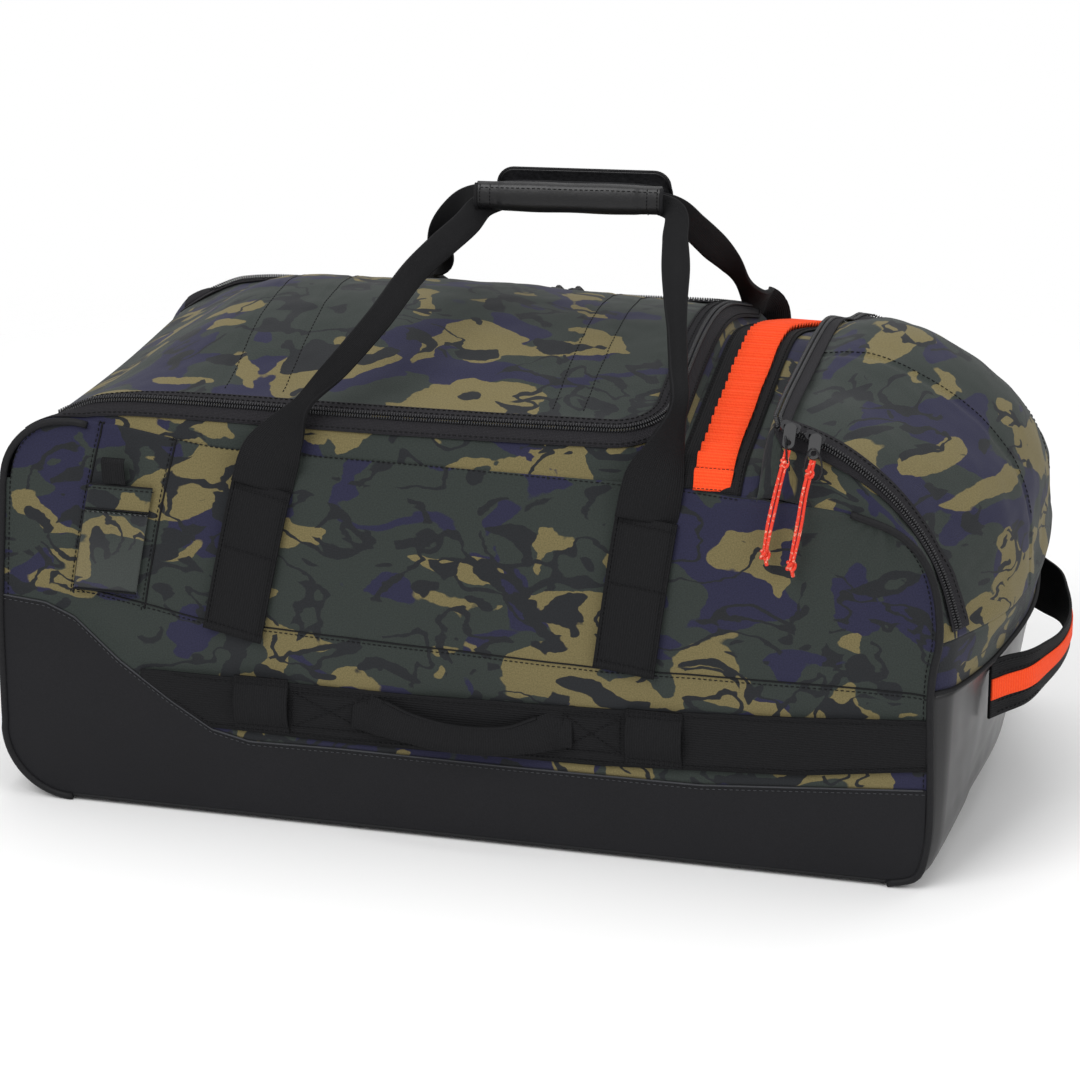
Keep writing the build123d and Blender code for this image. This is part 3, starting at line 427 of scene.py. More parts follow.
def scattered(shape: tuple[Array, list[tuple[int, ...]]], places: Array, axes: Array) -> Surface:
    """Copies of one small shape: each point is the place plus the shape's coordinates times
    the three axes at that place.

    Args:
        shape: the small shape's points and faces.
        places: one place for each copy.
        axes: three axes for each copy.

    Returns:
        All copies as one surface.
    """
    points, faces = shape
    placed = places[:, None] + np.einsum("kj,njd->nkd", points, axes)
    shift = np.arange(len(places)) * len(points)
    every = [tuple(i + s for i in face) for s in shift.tolist() for face in faces]
    return Surface(placed.reshape(-1, 3), every, placed.reshape(-1, 3)[:, :2])


def build(name: str, surface: Surface, finish: bpy.types.Material, body: str,
          replaces: Sequence[str] = (), thick: float = 0.0, lining: Any = None,
          ride: bool = True) -> bpy.types.Object:
    """Make a piece from a surface, dress it and let it ride on a body.

    Args:
        name: the piece's name.
        surface: its shape, in millimetres.
        finish: its material.
        body: the body that it rides on.
        replaces: frame nodes that it stands for.
        thick: wall thickness given inwards, in millimetres.
        lining: a second material for the inner side of a wall.
        ride: false for a piece that is left unattached to any body.

    Returns:
        The piece's object.
    """
    mesh = bpy.data.meshes.new(name)
    mesh.from_pydata((surface.points * MM).tolist(), [], surface.faces)
    layer = mesh.uv_layers.new(name="UVMap")
    loops = np.zeros(len(mesh.loops), np.int32)
    mesh.loops.foreach_get("vertex_index", loops)
    layer.data.foreach_set("uv", (surface.flat[loops] * MM).astype(np.float32).ravel())
    mesh.polygons.foreach_set("use_smooth", np.ones(len(mesh.polygons), bool))
    mesh.materials.append(finish)
    mesh.update()
    piece = bpy.data.objects.new(name, mesh)
    bpy.context.scene.collection.objects.link(piece)
    if thick:
        wall = piece.modifiers.new("wall", "SOLIDIFY")
        wall.thickness = thick * MM
        wall.offset = -1.0
        if lining is not None:
            mesh.materials.append(lining)
            wall.material_offset = 1
    if ride:
        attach(piece, body)
    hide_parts(*replaces)
    LOG.info("%s: %d points on %s", name, len(surface.points), body)
    return piece


# ------------------------------------------------------------------ finishes
def linear(code: str) -> tuple[float, float, float, float]:
    """A web colour as linear light with full alpha.

    Args:
        code: a colour such as #112233.

    Returns:
        Red, green, blue and alpha.
    """
    raw = np.array([int(code[i:i + 2], 16) / 255 for i in (1, 3, 5)])
    light = np.where(raw <= 0.04045, raw / 12.92, ((raw + 0.055) / 1.055) ** 2.4)
    return (*light.tolist(), 1.0)


class Shader:
    """A node material being wired up."""

    def __init__(self, name: str, rough: float, specular: float = 0.4) -> None:
        """Start from a principled surface with its plain values set.

        Args:
            name: the material's name.
            rough: its roughness.
            specular: its specular level.
        """
        self.material = bpy.data.materials.new(name)
        self.material.use_nodes = True
        self.tree = self.material.node_tree
        self.surface = self.tree.nodes["Principled BSDF"]
        self.surface.inputs["Roughness"].default_value = rough
        self.surface.inputs["Specular IOR Level"].default_value = specular

    def node(self, kind: str, inputs: dict[Any, Any] | None = None, **settings: Any) -> Any:
        """Add a node; inputs are values or sockets, settings are its properties.

        Args:
            kind: the node's type.
            inputs: what each socket gets.
            **settings: values of its properties.

        Returns:
            The node.
        """
        made = self.tree.nodes.new(kind)
        for key, value in settings.items():
            setattr(made, key, value)
        for key, value in (inputs or {}).items():
            self.give(made.inputs[key], value)
        return made

    def give(self, socket: Any, value: Any) -> None:
        """Link a socket to an output, or set its plain value.

        Args:
            socket: the input.
            value: an output to link, or a plain value.
        """
        if isinstance(value, bpy.types.NodeSocket):
            self.tree.links.new(value, socket)
        else:
            socket.default_value = value

    def place(self, flat: bool, scale: tuple[float, float, float] = (1, 1, 1),
              shift: tuple[float, float, float] = (0, 0, 0)) -> Any:
        """Coordinates: the piece's own flat ones, or those of the object.

        Args:
            flat: whether to take the flat ones.
            scale: their scale.
            shift: their shift.

        Returns:
            The mapped coordinates' socket.
        """
        source = self.node("ShaderNodeTexCoord").outputs["UV" if flat else "Object"]
        return self.node("ShaderNodeMapping", {"Vector": source, "Scale": scale,
                                               "Location": shift}).outputs[0]

    def noise(self, at: Any, scale: float, detail: float = 2.0, distort: float = 0.0) -> Any:
        """A noise value."""
        return self.node("ShaderNodeTexNoise", {"Vector": at, "Scale": scale, "Detail": detail,
                                                "Distortion": distort}).outputs["Fac"]

    def maths(self, how: str, first: Any, second: Any = 0.0) -> Any:
        """One sum."""
        return self.node("ShaderNodeMath", {0: first, 1: second}, operation=how).outputs[0]

    def step(self, value: Any, low: float, high: float) -> Any:
        """0 below low and 1 above high, straight between."""
        made = self.node("ShaderNodeMapRange", {"Value": value, "From Min": low, "From Max": high})
        return made.outputs["Result"]

    def mix(self, share: Any, first: Any, second: Any) -> Any:
        """A colour between two.

        Args:
            share: share of the second colour.
            first: the first colour.
            second: the second colour.

        Returns:
            The colour's socket.
        """
        made = self.node("ShaderNodeMix", data_type="RGBA")
        for socket, value in ((0, share), (6, first), (7, second)):
            self.give(made.inputs[socket], value)
        return made.outputs[2]

    def ribs(self, at: Any, axis: str, period: float, distort: float = 0.0) -> Any:
        """Ribs across one axis, with the given period in metres.

        Args:
            at: the coordinates.
            axis: the axis that the ribs cross.
            period: distance from rib to rib.
            distort: how uneven they are.

        Returns:
            A socket from 0 to 1.
        """
        return self.node("ShaderNodeTexWave", {"Vector": at, "Scale": 0.314 / period,
                                               "Distortion": distort, "Detail Scale": 8.0},
                         bands_direction=axis).outputs["Fac"]

    def finish(self, colour: Any, height: Any = None, depth: float = 0.0002,
               strength: float = 0.6) -> bpy.types.Material:
        """Wire colour and bump to the surface, and hand the material over.

        Args:
            colour: a colour or its socket.
            height: a socket that the bump follows.
            depth: depth of the bump, in metres.
            strength: strength of the bump.

        Returns:
            The material.
        """
        self.give(self.surface.inputs["Base Color"], colour)
        if height is not None:
            bump = self.node("ShaderNodeBump", {"Height": height, "Strength": strength,
                                                "Distance": depth})
            self.give(self.surface.inputs["Normal"], bump.outputs["Normal"])
        return self.material


@dataclass(frozen=True)
class Camouflage:
    """Generic camouflage print on matt woven cloth: blobs of two colours over a third, with
    dark branching shapes, all cut from warped noise."""

    name: str = "camouflage_cloth"
    ground: str = "#2d3330"
    violet: str = "#24243c"
    sand: str = "#6f6543"
    branch: str = "#1f2124"
    rough: float = 0.82
    coat: float = 0.0

    def make(self) -> bpy.types.Material:
        """Build the material.

        Returns:
            The material.
        """
        s = Shader(self.name, self.rough, 0.18)
        at = s.place(True, (1.0, 1.5, 1.0))
        wobble = s.node("ShaderNodeTexNoise", {"Vector": at, "Scale": 30.0, "Detail": 3.0})
        shift = s.node("ShaderNodeVectorMath", {0: wobble.outputs["Color"], 1: (0.5, 0.5, 0.5)},
                       operation="SUBTRACT").outputs[0]
        small = s.node("ShaderNodeVectorMath", {0: shift}, operation="SCALE")
        small.inputs["Scale"].default_value = 0.022
        warped = s.node("ShaderNodeVectorMath", {0: at, 1: small.outputs[0]},
                        operation="ADD").outputs[0]

        def shapes(scale: float, move: float, low: float, distort: float = 0.8) -> Any:
            """Blobs of noise: 1 where it is over low, with a sharp edge.

            Args:
                scale: scale of the noise.
                move: shift of the noise.
                low: noise level at which a blob starts.
                distort: distortion of the noise.

            Returns:
                A socket from 0 to 1.
            """
            moved = s.node("ShaderNodeVectorMath", {0: warped, 1: (move, 1.7 * move, move)},
                           operation="ADD").outputs[0]
            return s.step(s.noise(moved, scale, 1.0, distort), low, low + 0.006)

        violet = s.mix(shapes(12.0, 3.1, 0.545), linear(self.ground), linear(self.violet))
        sand = s.mix(shapes(12.5, 7.7, 0.572), violet, linear(self.sand))
        veins = s.noise(s.node("ShaderNodeVectorMath", {0: warped, 1: (5.3, 1.1, 2.0)},
                               operation="ADD").outputs[0], 13.0, 1.2, 1.6)
        thin = s.maths("ABSOLUTE", s.maths("SUBTRACT", veins, 0.5))
        patch = shapes(8.0, 12.4, 0.47, 1.2)
        lines = s.maths("MULTIPLY", s.maths("SUBTRACT", 1.0, s.step(thin, 0.030, 0.035)), patch)
        blobs = shapes(19.0, 21.3, 0.655)
        dark = s.mix(s.maths("MAXIMUM", lines, blobs), sand, linear(self.branch))
        fibre = s.noise(s.place(True), 900.0, 2.0)
        lit = s.mix(s.step(fibre, 0.3, 0.75), (0.78, 0.78, 0.78, 1), (1.2, 1.2, 1.2, 1))
        cloth = s.node("ShaderNodeMix", data_type="RGBA", blend_type="MULTIPLY")
        for socket, value in ((0, 1.0), (6, dark), (7, lit)):
            s.give(cloth.inputs[socket], value)
        s.surface.inputs["Sheen Weight"].default_value = 0.08
        s.surface.inputs["Sheen Roughness"].default_value = 0.6
        s.surface.inputs["Coat Weight"].default_value = self.coat
        weave = s.maths("ADD", s.ribs(s.place(True), "X", 0.0011), s.ribs(s.place(True), "Y", 0.0011))
        return s.finish(cloth.outputs[2], s.maths("ADD", s.maths("MULTIPLY", weave, 0.4), fibre),
                        0.00025, 0.5)


@dataclass(frozen=True)
class Cloth:
    """Plain cloth or coated sheet: one colour, varied a little, with a fine grain."""

    name: str
    colour: str
    rough: float
    grain: float = 700.0
    depth: float = 0.0002
    vary: float = 0.25
    specular: float = 0.18
    coat: float = 0.0

    def make(self) -> bpy.types.Material:
        """Build the material.

        Returns:
            The material.
        """
        s = Shader(self.name, self.rough, self.specular)
        at = s.place(False)
        fine, broad = s.noise(at, self.grain, 3.0), s.noise(at, 14.0, 3.0)
        deep = linear(self.colour)
        pale = tuple(min(1.0, c * (1 + self.vary) + 0.002) for c in deep[:3]) + (1.0,)
        dim = tuple(c * (1 - self.vary) for c in deep[:3]) + (1.0,)
        share = s.maths("MULTIPLY_ADD", fine, 0.6)
        s.give(share.node.inputs[2], s.maths("MULTIPLY", broad, 0.4))
        worn = s.step(broad, 0.2, 0.8)
        rough = s.maths("MULTIPLY_ADD", worn, 0.12)
        s.give(rough.node.inputs[2], self.rough - 0.06)
        s.give(s.surface.inputs["Roughness"], rough)
        s.surface.inputs["Coat Weight"].default_value = self.coat
        s.surface.inputs["Coat Roughness"].default_value = 0.3
        return s.finish(s.mix(s.step(share, 0.3, 0.7), dim, pale), fine, self.depth)


@dataclass(frozen=True)
class Webbing:
    """Woven webbing: ribs along its length, crossed by finer picks."""

    name: str
    colour: str
    pale: str
    rib: float = 0.0019
    pick: float = 0.0011
    turned: bool = False

    def make(self) -> bpy.types.Material:
        """Build the material.

        Returns:
            The material.
        """
        s = Shader(self.name, 0.66, 0.14)
        at = s.place(True)
        first, second = ("Y", "X") if self.turned else ("X", "Y")
        rib = s.ribs(at, first, self.rib, 0.6)
        pick = s.ribs(at, second, self.pick, 0.9)
        height = s.maths("MULTIPLY_ADD", rib, 0.7)
        s.give(height.node.inputs[2], s.maths("MULTIPLY", pick, 0.45))
        grain = s.noise(at, 500.0, 2.0)
        # colour follows the rib and pick height: painted highlight on the raised ribs and painted shade in
        # the grooves between them, plus random grain tone
        share = s.maths("MULTIPLY", s.maths("ADD", height, grain), 0.55)
        return s.finish(s.mix(share, linear(self.colour), linear(self.pale)), height, 0.0005, 0.8)


@dataclass(frozen=True)
class Flecked:
    """Braided cord: bright, with pale flecks in a slanted braid."""

    name: str = "flecked_cord"
    bright: str = "#e8402c"
    pale: str = "#f0a890"

    def make(self) -> bpy.types.Material:
        """Build the material.

        Returns:
            The material.
        """
        s = Shader(self.name, 0.6, 0.3)
        braid = s.node("ShaderNodeTexChecker", {"Vector": s.place(True, (1, 0.45, 1)),
                                                "Scale": 900.0}).outputs["Fac"]
        fleck = s.step(s.noise(s.place(False), 420.0, 1.0), 0.6, 0.64)
        share = s.maths("MULTIPLY", fleck, s.maths("MULTIPLY_ADD", braid, 0.6))
        s.give(share.node.inputs[1], s.step(braid, -0.7, 1.0))
        return s.finish(s.mix(share, linear(self.bright), linear(self.pale)), braid, 0.0003)


@dataclass(frozen=True)
class Hard:
    """Moulded plastic, rubber or metal: fine texture and slight wear."""

    name: str
    colour: str
    rough: float
    metal: float = 0.0
    grain: float = 350.0
    brushed: bool = False

    def make(self) -> bpy.types.Material:
        """Build the material.

        Returns:
            The material.
        """
        s = Shader(self.name, self.rough, 0.5)
        s.surface.inputs["Metallic"].default_value = self.metal
        at = s.place(False, (0.06, 1.0, 1.0) if self.brushed else (1.0, 1.0, 1.0))
        fine, wear = s.noise(at, self.grain, 3.0), s.noise(s.place(False), 22.0, 4.0)
        base = linear(self.colour)
        pale = tuple(min(1.0, 1.3 * c + 0.004) for c in base[:3]) + (1.0,)
        rough = s.maths("MULTIPLY_ADD", wear, 0.2)
        s.give(rough.node.inputs[2], self.rough - 0.1)
        s.give(s.surface.inputs["Roughness"], rough)
        return s.finish(s.mix(s.step(wear, 0.35, 0.8), base, pale), fine, 0.0001, 0.4)


class Finishes:
    """Every finish on the bag, made once."""

    def __init__(self) -> None:
        """Make the materials."""
        self.camo = Camouflage().make()
        self.window = Camouflage(name="clear_film_on_cloth", rough=0.4, coat=0.25).make()
        self.tarp = Cloth("tarpaulin", "#17171a", 0.52, 900.0, 0.00012, 0.12, 0.16).make()
        self.gloss_tarp = Cloth("glossy_tarpaulin", "#151517", 0.34, 700.0, 0.0001, 0.12, 0.35,
                                0.12).make()
        self.webbing = Webbing("black_webbing", "#0c0c0d", "#1c1c1e").make()
        self.cross = Webbing("black_webbing_across", "#0c0c0d", "#1c1c1e", turned=True).make()
        self.orange = Webbing("orange_webbing", "#ee3a12", "#ff5a2a", 0.0026, 0.0012,
                              turned=True).make()
        self.leather = Cloth("grip_leatherette", "#111113", 0.42, 320.0, 0.0003, 0.2, 0.45, 0.1).make()
        self.fuzzy = Cloth("hook_and_loop", "#222224", 0.95, 260.0, 0.0012, 0.5, 0.1).make()
        self.tape = Webbing("zipper_tape", "#1d1c1f", "#2c2b2e", 0.0012, 0.0012).make()
        self.teeth = Hard("zipper_teeth", "#1c1c1f", 0.34).make()
        self.piping = Cloth("bias_piping", "#18181a", 0.6, 600.0, 0.0002, 0.2).make()
        self.lining = Cloth("lining_cloth", "#3a3b3f", 0.85, 500.0, 0.0003, 0.2).make()
        self.thread = Cloth("dark_thread", "#111113", 0.7, 900.0, 0.0001, 0.2).make()
        self.pale_thread = Cloth("grey_thread", "#3c3d40", 0.7, 900.0, 0.0001, 0.2).make()
        self.plastic = Hard("moulded_plastic", "#1d1d1f", 0.5).make()
        self.grip = Hard("grip_plastic", "#1a1a1b", 0.62).make()
        self.button = Hard("button_plastic", "#3b3b3e", 0.4).make()
        self.aluminium = Hard("anodised_tube", "#b3b4b8", 0.34, 1.0, 900.0, True).make()
        self.steel = Hard("plain_steel", "#a9a9ab", 0.3, 1.0, 700.0).make()
        self.rubber = Hard("tyre_rubber", "#1b1b1b", 0.78, 0.0, 240.0).make()
        self.hub = Hard("hub_plastic", "#47474b", 0.45).make()
        self.slider = Hard("painted_metal", "#1c1c1f", 0.32, 0.4).make()
        self.cord = Flecked().make()
        self.card = Hard("address_card", "#8f8f8c", 0.6).make()


# ------------------------------------------------------------------ the bag's shape
@dataclass
class BagShape:
    """The outer shape that every panel, tape and strap is laid on, in millimetres."""

    half: float = field(default_factory=lambda: -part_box("front_panel")[0].y / MM)
    left: float = field(default_factory=lambda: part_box("wheel_end_panel")[0].x / MM)
    floor: float = field(default_factory=lambda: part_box("runners")[1].z / MM)
    low_corner: float = 55.0
    high_corner: float = 49.0
    corner_z: float = 266.0
    wall_top: float = 302.0
    rail_y: float = 178.0
    crown: float = 48.0
    end_x: float = 366.0
    split_x: float = 222.0
    crease_x: float = 231.0
    band_x: float = 165.0
    arch_y: float = 192.0
    flap_start: float = 4.0
    flap_top: float = 11.3

    def __post_init__(self) -> None:
        """Lay out the outlines of the end compartment, by distance from the middle."""
        angles = np.radians([8, 14, 24, 34, 44, 54, 64, 75])
        arch = np.stack([202 + 182 * np.cos(angles), 176 + 182 * np.sin(angles)], -1)
        start = [(222, 3), (338, 3)]
        edge = start + [(367, 33), (366, 158), (371, 200), (370, 225), (366, 245), (359, 262),
                        (348, 276), (333, 286), (312, 293), (290, 298), (222, 302)]
        rail = start + [(374, 31), (380, 158), *arch.tolist(), (222, 354)]
        side = start + [(381, 33), (403, 158), (414, 200), (413, 245), (408, 272), (392, 300),
                        (366, 326), (334, 346), (290, 364), (250, 369), (222, 368)]
        middle = start + [(386, 34), (412, 158), (421, 200), (421, 245), (417, 280), (402, 318),
                          (374, 350), (336, 373), (290, 386), (250, 377), (222, 376)]
        half = [middle, side, rail, edge]
        self.rails = np.array(half[:0:-1] + half, float)
        self.foot = spline(np.arange(13), self.rails[-1], np.linspace(1, 2, 40))
        self.rail_at = np.array([-self.half, -self.arch_y, -100, 0, 100, self.arch_y, self.half])

    def lean(self, z: Any) -> Array:
        """Distance of the walls from the middle: straight, then leaning in towards the top
        by a share of the height above 160 to the power 3.6."""
        return self.half - 28.0 * np.clip((np.asarray(z, float) - 160.0) / 178.0, 0, 1) ** 3.6

    def wall_y(self, x: Any, z: Any) -> Array:
        """The walls' distance from the middle, standing straight at the end compartment."""
        straight = smooth((np.asarray(x, float) - 150.0) / 90.0)
        return self.half - (self.half - self.lean(z)) * (1 - straight)

    def drop(self, y: Any) -> Array:
        """How far the lid falls away from its crown, as a share: the mean of a parabola and
        half a cosine wave."""
        t = np.clip(np.abs(y) / self.rail_y, 0, 1)
        return 0.5 * (t ** 2 + (1 - np.cos(np.pi * t)) / 2)

    def left_x(self, z: Any) -> Array:
        """The left end's place at a height: it leans in a little towards the top."""
        return self.left + 3.5 + 6.0 * smooth((np.asarray(z, float) - 130) / 140)

    def crown_z(self, x: Any) -> Array:
        """Height along the middle of the lid, falling off towards the wheels.

        Args:
            x: places along the bag.

        Returns:
            One height for each.
        """
        at = [-371, -362, -350, -335, -315, -292, -270, -250, -230, -205, -150, -80, 148]
        z = [262, 281, 294.5, 306, 319, 335, 351, 364, 374, 379.5, 384.5, 387, 378]
        return spline(at, z, x, tight=True)

    def rail(self, x: Any) -> Array:
        """Height of the lid's side rails.

        Args:
            x: places along the bag.

        Returns:
            One height for each.
        """
        at = [-371, -365, -355, -340, -320, -295, -260, -200, -100, 0, 110]
        z = [262, 280, 294.5, 306, 318, 327.5, 331, 332, 332.5, 334, 337]
        return spline(at, z, x, tight=True)

    def top(self, x: Any, y: Any) -> Array:
        """Height of the lid: the crown less the fall to the rail."""
        high = self.crown_z(x)
        return high - (high - self.rail(x)) * self.drop(y)

    def side_top(self, x: Any) -> Array:
        """Height where the walls end and the shoulders start.

        Args:
            x: places along the bag.

        Returns:
            One height for each.
        """
        x = np.asarray(x, float)
        reach = np.clip(self.left + 9.5 + self.high_corner - x, 0, self.high_corner)
        round_z = self.corner_z + np.sqrt(np.maximum(self.high_corner ** 2 - reach ** 2, 0))
        main = np.minimum(round_z, self.wall_top + 12 * (1 - smooth((x + 300) / 120)))
        edge = self.rails[-1][12:5:-1]
        return np.where(x > self.split_x, np.interp(x, edge[:, 0], edge[:, 1]), main)

    def side_bottom(self, x: Any) -> Array:
        """Height of the walls' lower edge, with its rounded corners.

        Args:
            x: places along the bag.

        Returns:
            One height for each.
        """
        x = np.asarray(x, float)
        r, start = self.low_corner, self.left + self.low_corner
        left = r - np.sqrt(np.maximum(r ** 2 - np.clip(start - x, 0, r) ** 2, 0))
        right = np.interp(x, self.foot[:, 0], self.foot[:, 1] - self.floor)
        return self.floor + left + right

    def tarp_edge(self, x: Any) -> Array:
        """Upper edge of the splash guard.

        Args:
            x: places along the bag.

        Returns:
            One height for each.
        """
        at = [-380, -370, -336, -312, -276, -234, -200, -169, -95, 34, 192, 366]
        z = [170, 170, 167, 157, 124, 94, 73, 66, 67.5, 67, 68, 82]
        return np.interp(np.asarray(x, float), at, z)

    def seam_z(self, x: Any) -> Array:
        """The level seam along the walls, above the lash bands."""
        return np.interp(np.asarray(x, float), [-315, -207, -45, 113, 267, 366],
                         [183, 164, 159, 155.5, 158, 158])

    def yoke_z(self, y: Any, edge: Any) -> Array:
        """Height of the yoke between lid and end compartment.

        Args:
            y: distances from the middle.
            edge: distance at which the walls start.

        Returns:
            One height for each.
        """
        y = np.abs(y)
        over = 372 - 0.28 * np.sqrt(y ** 2 + 900)
        share = np.clip((y - self.rail_y) / np.maximum(edge - self.rail_y, 1), 0, 1)
        fall = 321.3 - (321.3 - self.wall_top) * share ** 1.3
        return np.where(y < self.rail_y, over, fall)

    def end(self, at: Any, y: Any) -> Array:
        """Points of the end compartment: smooth along each outline, then across them.

        Args:
            at: places along the outlines, from 0 at the floor to 12 at the top.
            y: distances from the middle.

        Returns:
            A grid, places by distances by three.
        """
        at, y = np.atleast_1d(at).astype(float), np.atleast_1d(y).astype(float)
        lines = np.stack([spline(np.arange(13), rail, at) for rail in self.rails])
        xz = spline(self.rail_at, lines, y, tight=True)
        z = xz[..., 1].T
        z = z - 23.0 * smooth(y / 150) * np.clip((z - 190) / 150, 0, 1)
        return np.stack([xz[..., 0].T, np.broadcast_to(y, (len(at), len(y))), z], -1)

    def end_place(self, z: float) -> float:
        """Place along the end outlines at a height, below the flap."""
        places = np.linspace(1, 4, 200)
        return float(np.interp(z, self.end(places, 0.0)[:, 0, 2], places))


class LidRail:
    """The path of the main zipper, and the rim around it.  Its points run from the front
    left, round the right end, to the back left, and on past the hinge at both ends."""

    def __init__(self, shape: BagShape, lid_left: float = -352.0, lid_right: float = 152.0,
                 radius: float = 42.0) -> None:
        """Work out the path in plan, and the heights from the bag's shape.

        Args:
            shape: the bag's shape.
            lid_left: place of the lid's hinge.
            lid_right: place of its free end.
            radius: radius of its corners.
        """
        self.shape, self.lid_left, self.lid_right, self.radius = shape, lid_left, lid_right, radius
        turn = np.linspace(-np.pi / 2, 0, 18)
        centre = np.array([lid_right - radius, -(shape.rail_y - radius)])
        bend = centre + radius * np.stack([np.cos(turn), np.sin(turn)], -1)
        run_x = np.concatenate([np.linspace(shape.left + 9.5, lid_left, 12)[:-1],
                                np.linspace(lid_left, centre[0], 117)[:-1]])
        front = np.column_stack([run_x, np.full(len(run_x), -shape.rail_y)])
        across = np.column_stack([np.full(35, lid_right), np.linspace(bend[-1, 1], 0, 36)[1:]])
        half = np.vstack([front, bend, across])
        plan = np.vstack([half, half[-2::-1] * (1, -1)])
        self.path = np.column_stack([plan, shape.top(plan[:, 0], plan[:, 1])])
        tangent = unit(np.gradient(self.path, axis=0))
        self.out = unit(np.column_stack([tangent[:, 1], -tangent[:, 0], np.zeros(len(plan))]))
        side = self.out[:, 1] ** 2
        lift = np.column_stack([np.zeros((len(plan), 2)), 0.94 - 0.14 * side])
        self.normal = unit(self.out * (0.34 + 0.26 * side)[:, None] + lift)
        self.zipped = (self.path[:, 0] >= lid_left - 0.01)
        self._outer(front, bend, half)

    def _outer(self, front: Array, bend: Array, half: Array) -> None:
        """The rim's outer edge: along the walls' tops, round to the band across the bag.

        Args:
            front: the path's plan along the front.
            bend: its plan round the corner.
            half: its plan as far as the middle of the free end.
        """
        shape = self.shape
        x = front[:, 0]
        z = shape.side_top(x)
        walls = np.column_stack([x, -shape.wall_y(x, z), z])
        share = np.linspace(0, 1, len(bend))
        corner_x = bend[0, 0] + (shape.band_x - bend[0, 0]) * np.clip(share / 0.6, 0, 1)
        edge = shape.wall_y(corner_x, shape.wall_top)
        corner_y = -(edge - (edge + bend[-1, 1]) * np.clip((share - 0.6) / 0.4, 0, 1))
        corner = np.column_stack([corner_x, corner_y, shape.yoke_z(corner_y, edge)])
        corner[share <= 0.6, 2] = shape.wall_top
        y = half[len(front) + len(bend):, 1]
        last = float(shape.wall_y(shape.band_x, shape.wall_top))
        ends = np.column_stack([np.full(len(y), shape.band_x), y, shape.yoke_z(y, last)])
        first = np.vstack([walls, corner, ends])
        self.outer = np.vstack([first, first[-2::-1] * (1, -1, 1)])
        self.width = np.linalg.norm(self.outer - self.path, axis=1)

    def rim(self, share: Any, lift: float = 0.0) -> Array:
        """Points of the rim: from the zipper at share 0 to the outer edge at 1, bulging by
        four times share times what is left of it.

        Args:
            share: shares across the rim, a list for all or one list for each path point.
            lift: height over the cloth.

        Returns:
            A grid, path points by shares by three.
        """
        w = np.broadcast_to(share, (len(self.path), np.shape(share)[-1]))[..., None]
        flat = self.path[:, None] * (1 - w) + self.outer[:, None] * w
        run = unit(np.gradient(self.path, axis=0))
        off = unit(np.cross(self.outer - self.path, run))
        off *= np.sign(np.sum(off * self.normal, axis=1, keepdims=True))
        bulge = 0.09 * np.minimum(self.width, 40)[:, None, None]
        return flat + off[:, None] * (4 * w * (1 - w) * bulge + lift)

    def inner(self, distance: float, lift: float = 0.0) -> Array:
        """The path moved in over the lid, at the lid's height plus lift.

        Args:
            distance: how far in.
            lift: height over the lid.

        Returns:
            As many points as the path has.
        """
        moved = self.path - self.out * distance
        moved[:, 0] = np.maximum(moved[:, 0], self.lid_left)
        moved[:, 2] = self.shape.top(moved[:, 0], moved[:, 1]) + lift
        return moved


@dataclass
class Threads:
    """Rows of stitches, gathered by body and colour, and made as one piece for each."""

    finishes: Finishes
    rows: dict[tuple[str, str], list[Surface]] = field(default_factory=dict)

    def row(self, path: Any, up: Any, body: str = "bag", colour: str = "thread",
            pitch: float = 4.2, length: float = 2.9, radius: float = 0.42,
            on: Surface | None = None) -> None:
        """Add a row of stitches along a path, lying on a face whose way up is given, or
        settled on a cloth.

        Args:
            path: the row's line.
            up: a rough way up.
            body: the body that it rides on.
            colour: name of the thread's finish.
            pitch: distance from stitch to stitch.
            length: length of a stitch.
            radius: half its thickness.
            on: a cloth to settle on.
        """
        line = resampled(path, pitch)
        if on is not None:
            line = settled(line, on)
        across, off = sides_of(line, up)
        places = line + off * 0.15
        axes = np.stack([np.cross(off, across), across, off], 1)
        self.rows.setdefault((body, colour), []).append(
            scattered(stitch_shape(length, radius), places, axes))

    def build(self) -> None:
        """Make the gathered rows."""
        for (body, colour), rows in self.rows.items():
            whole = rows[0]
            for more in rows[1:]:
                whole = whole + more
            build(f"{colour}_stitches_{body}", whole, getattr(self.finishes, colour), body)


@dataclass
class Duffel:
    """What every sub-assembly needs: the shape, the zipper's rail, the finishes and thread."""

    shape: BagShape
    rail: LidRail
    finishes: Finishes
    threads: Threads

    def panel(self, name: str, surface: Surface, replaces: Sequence[str] = (),
              body: str = "bag", thick: float = 2.4, ride: bool = True) -> bpy.types.Object:
        """Make a lined panel of camouflage cloth."""
        return build(name, surface, self.finishes.camo, body, replaces, thick,
                     self.finishes.lining, ride)


def mirrored(points: Array, side: Side) -> Array:
    """Points for one side, from points given with positive distances from the middle."""
    return points * np.array([1.0, float(side.value), 1.0])


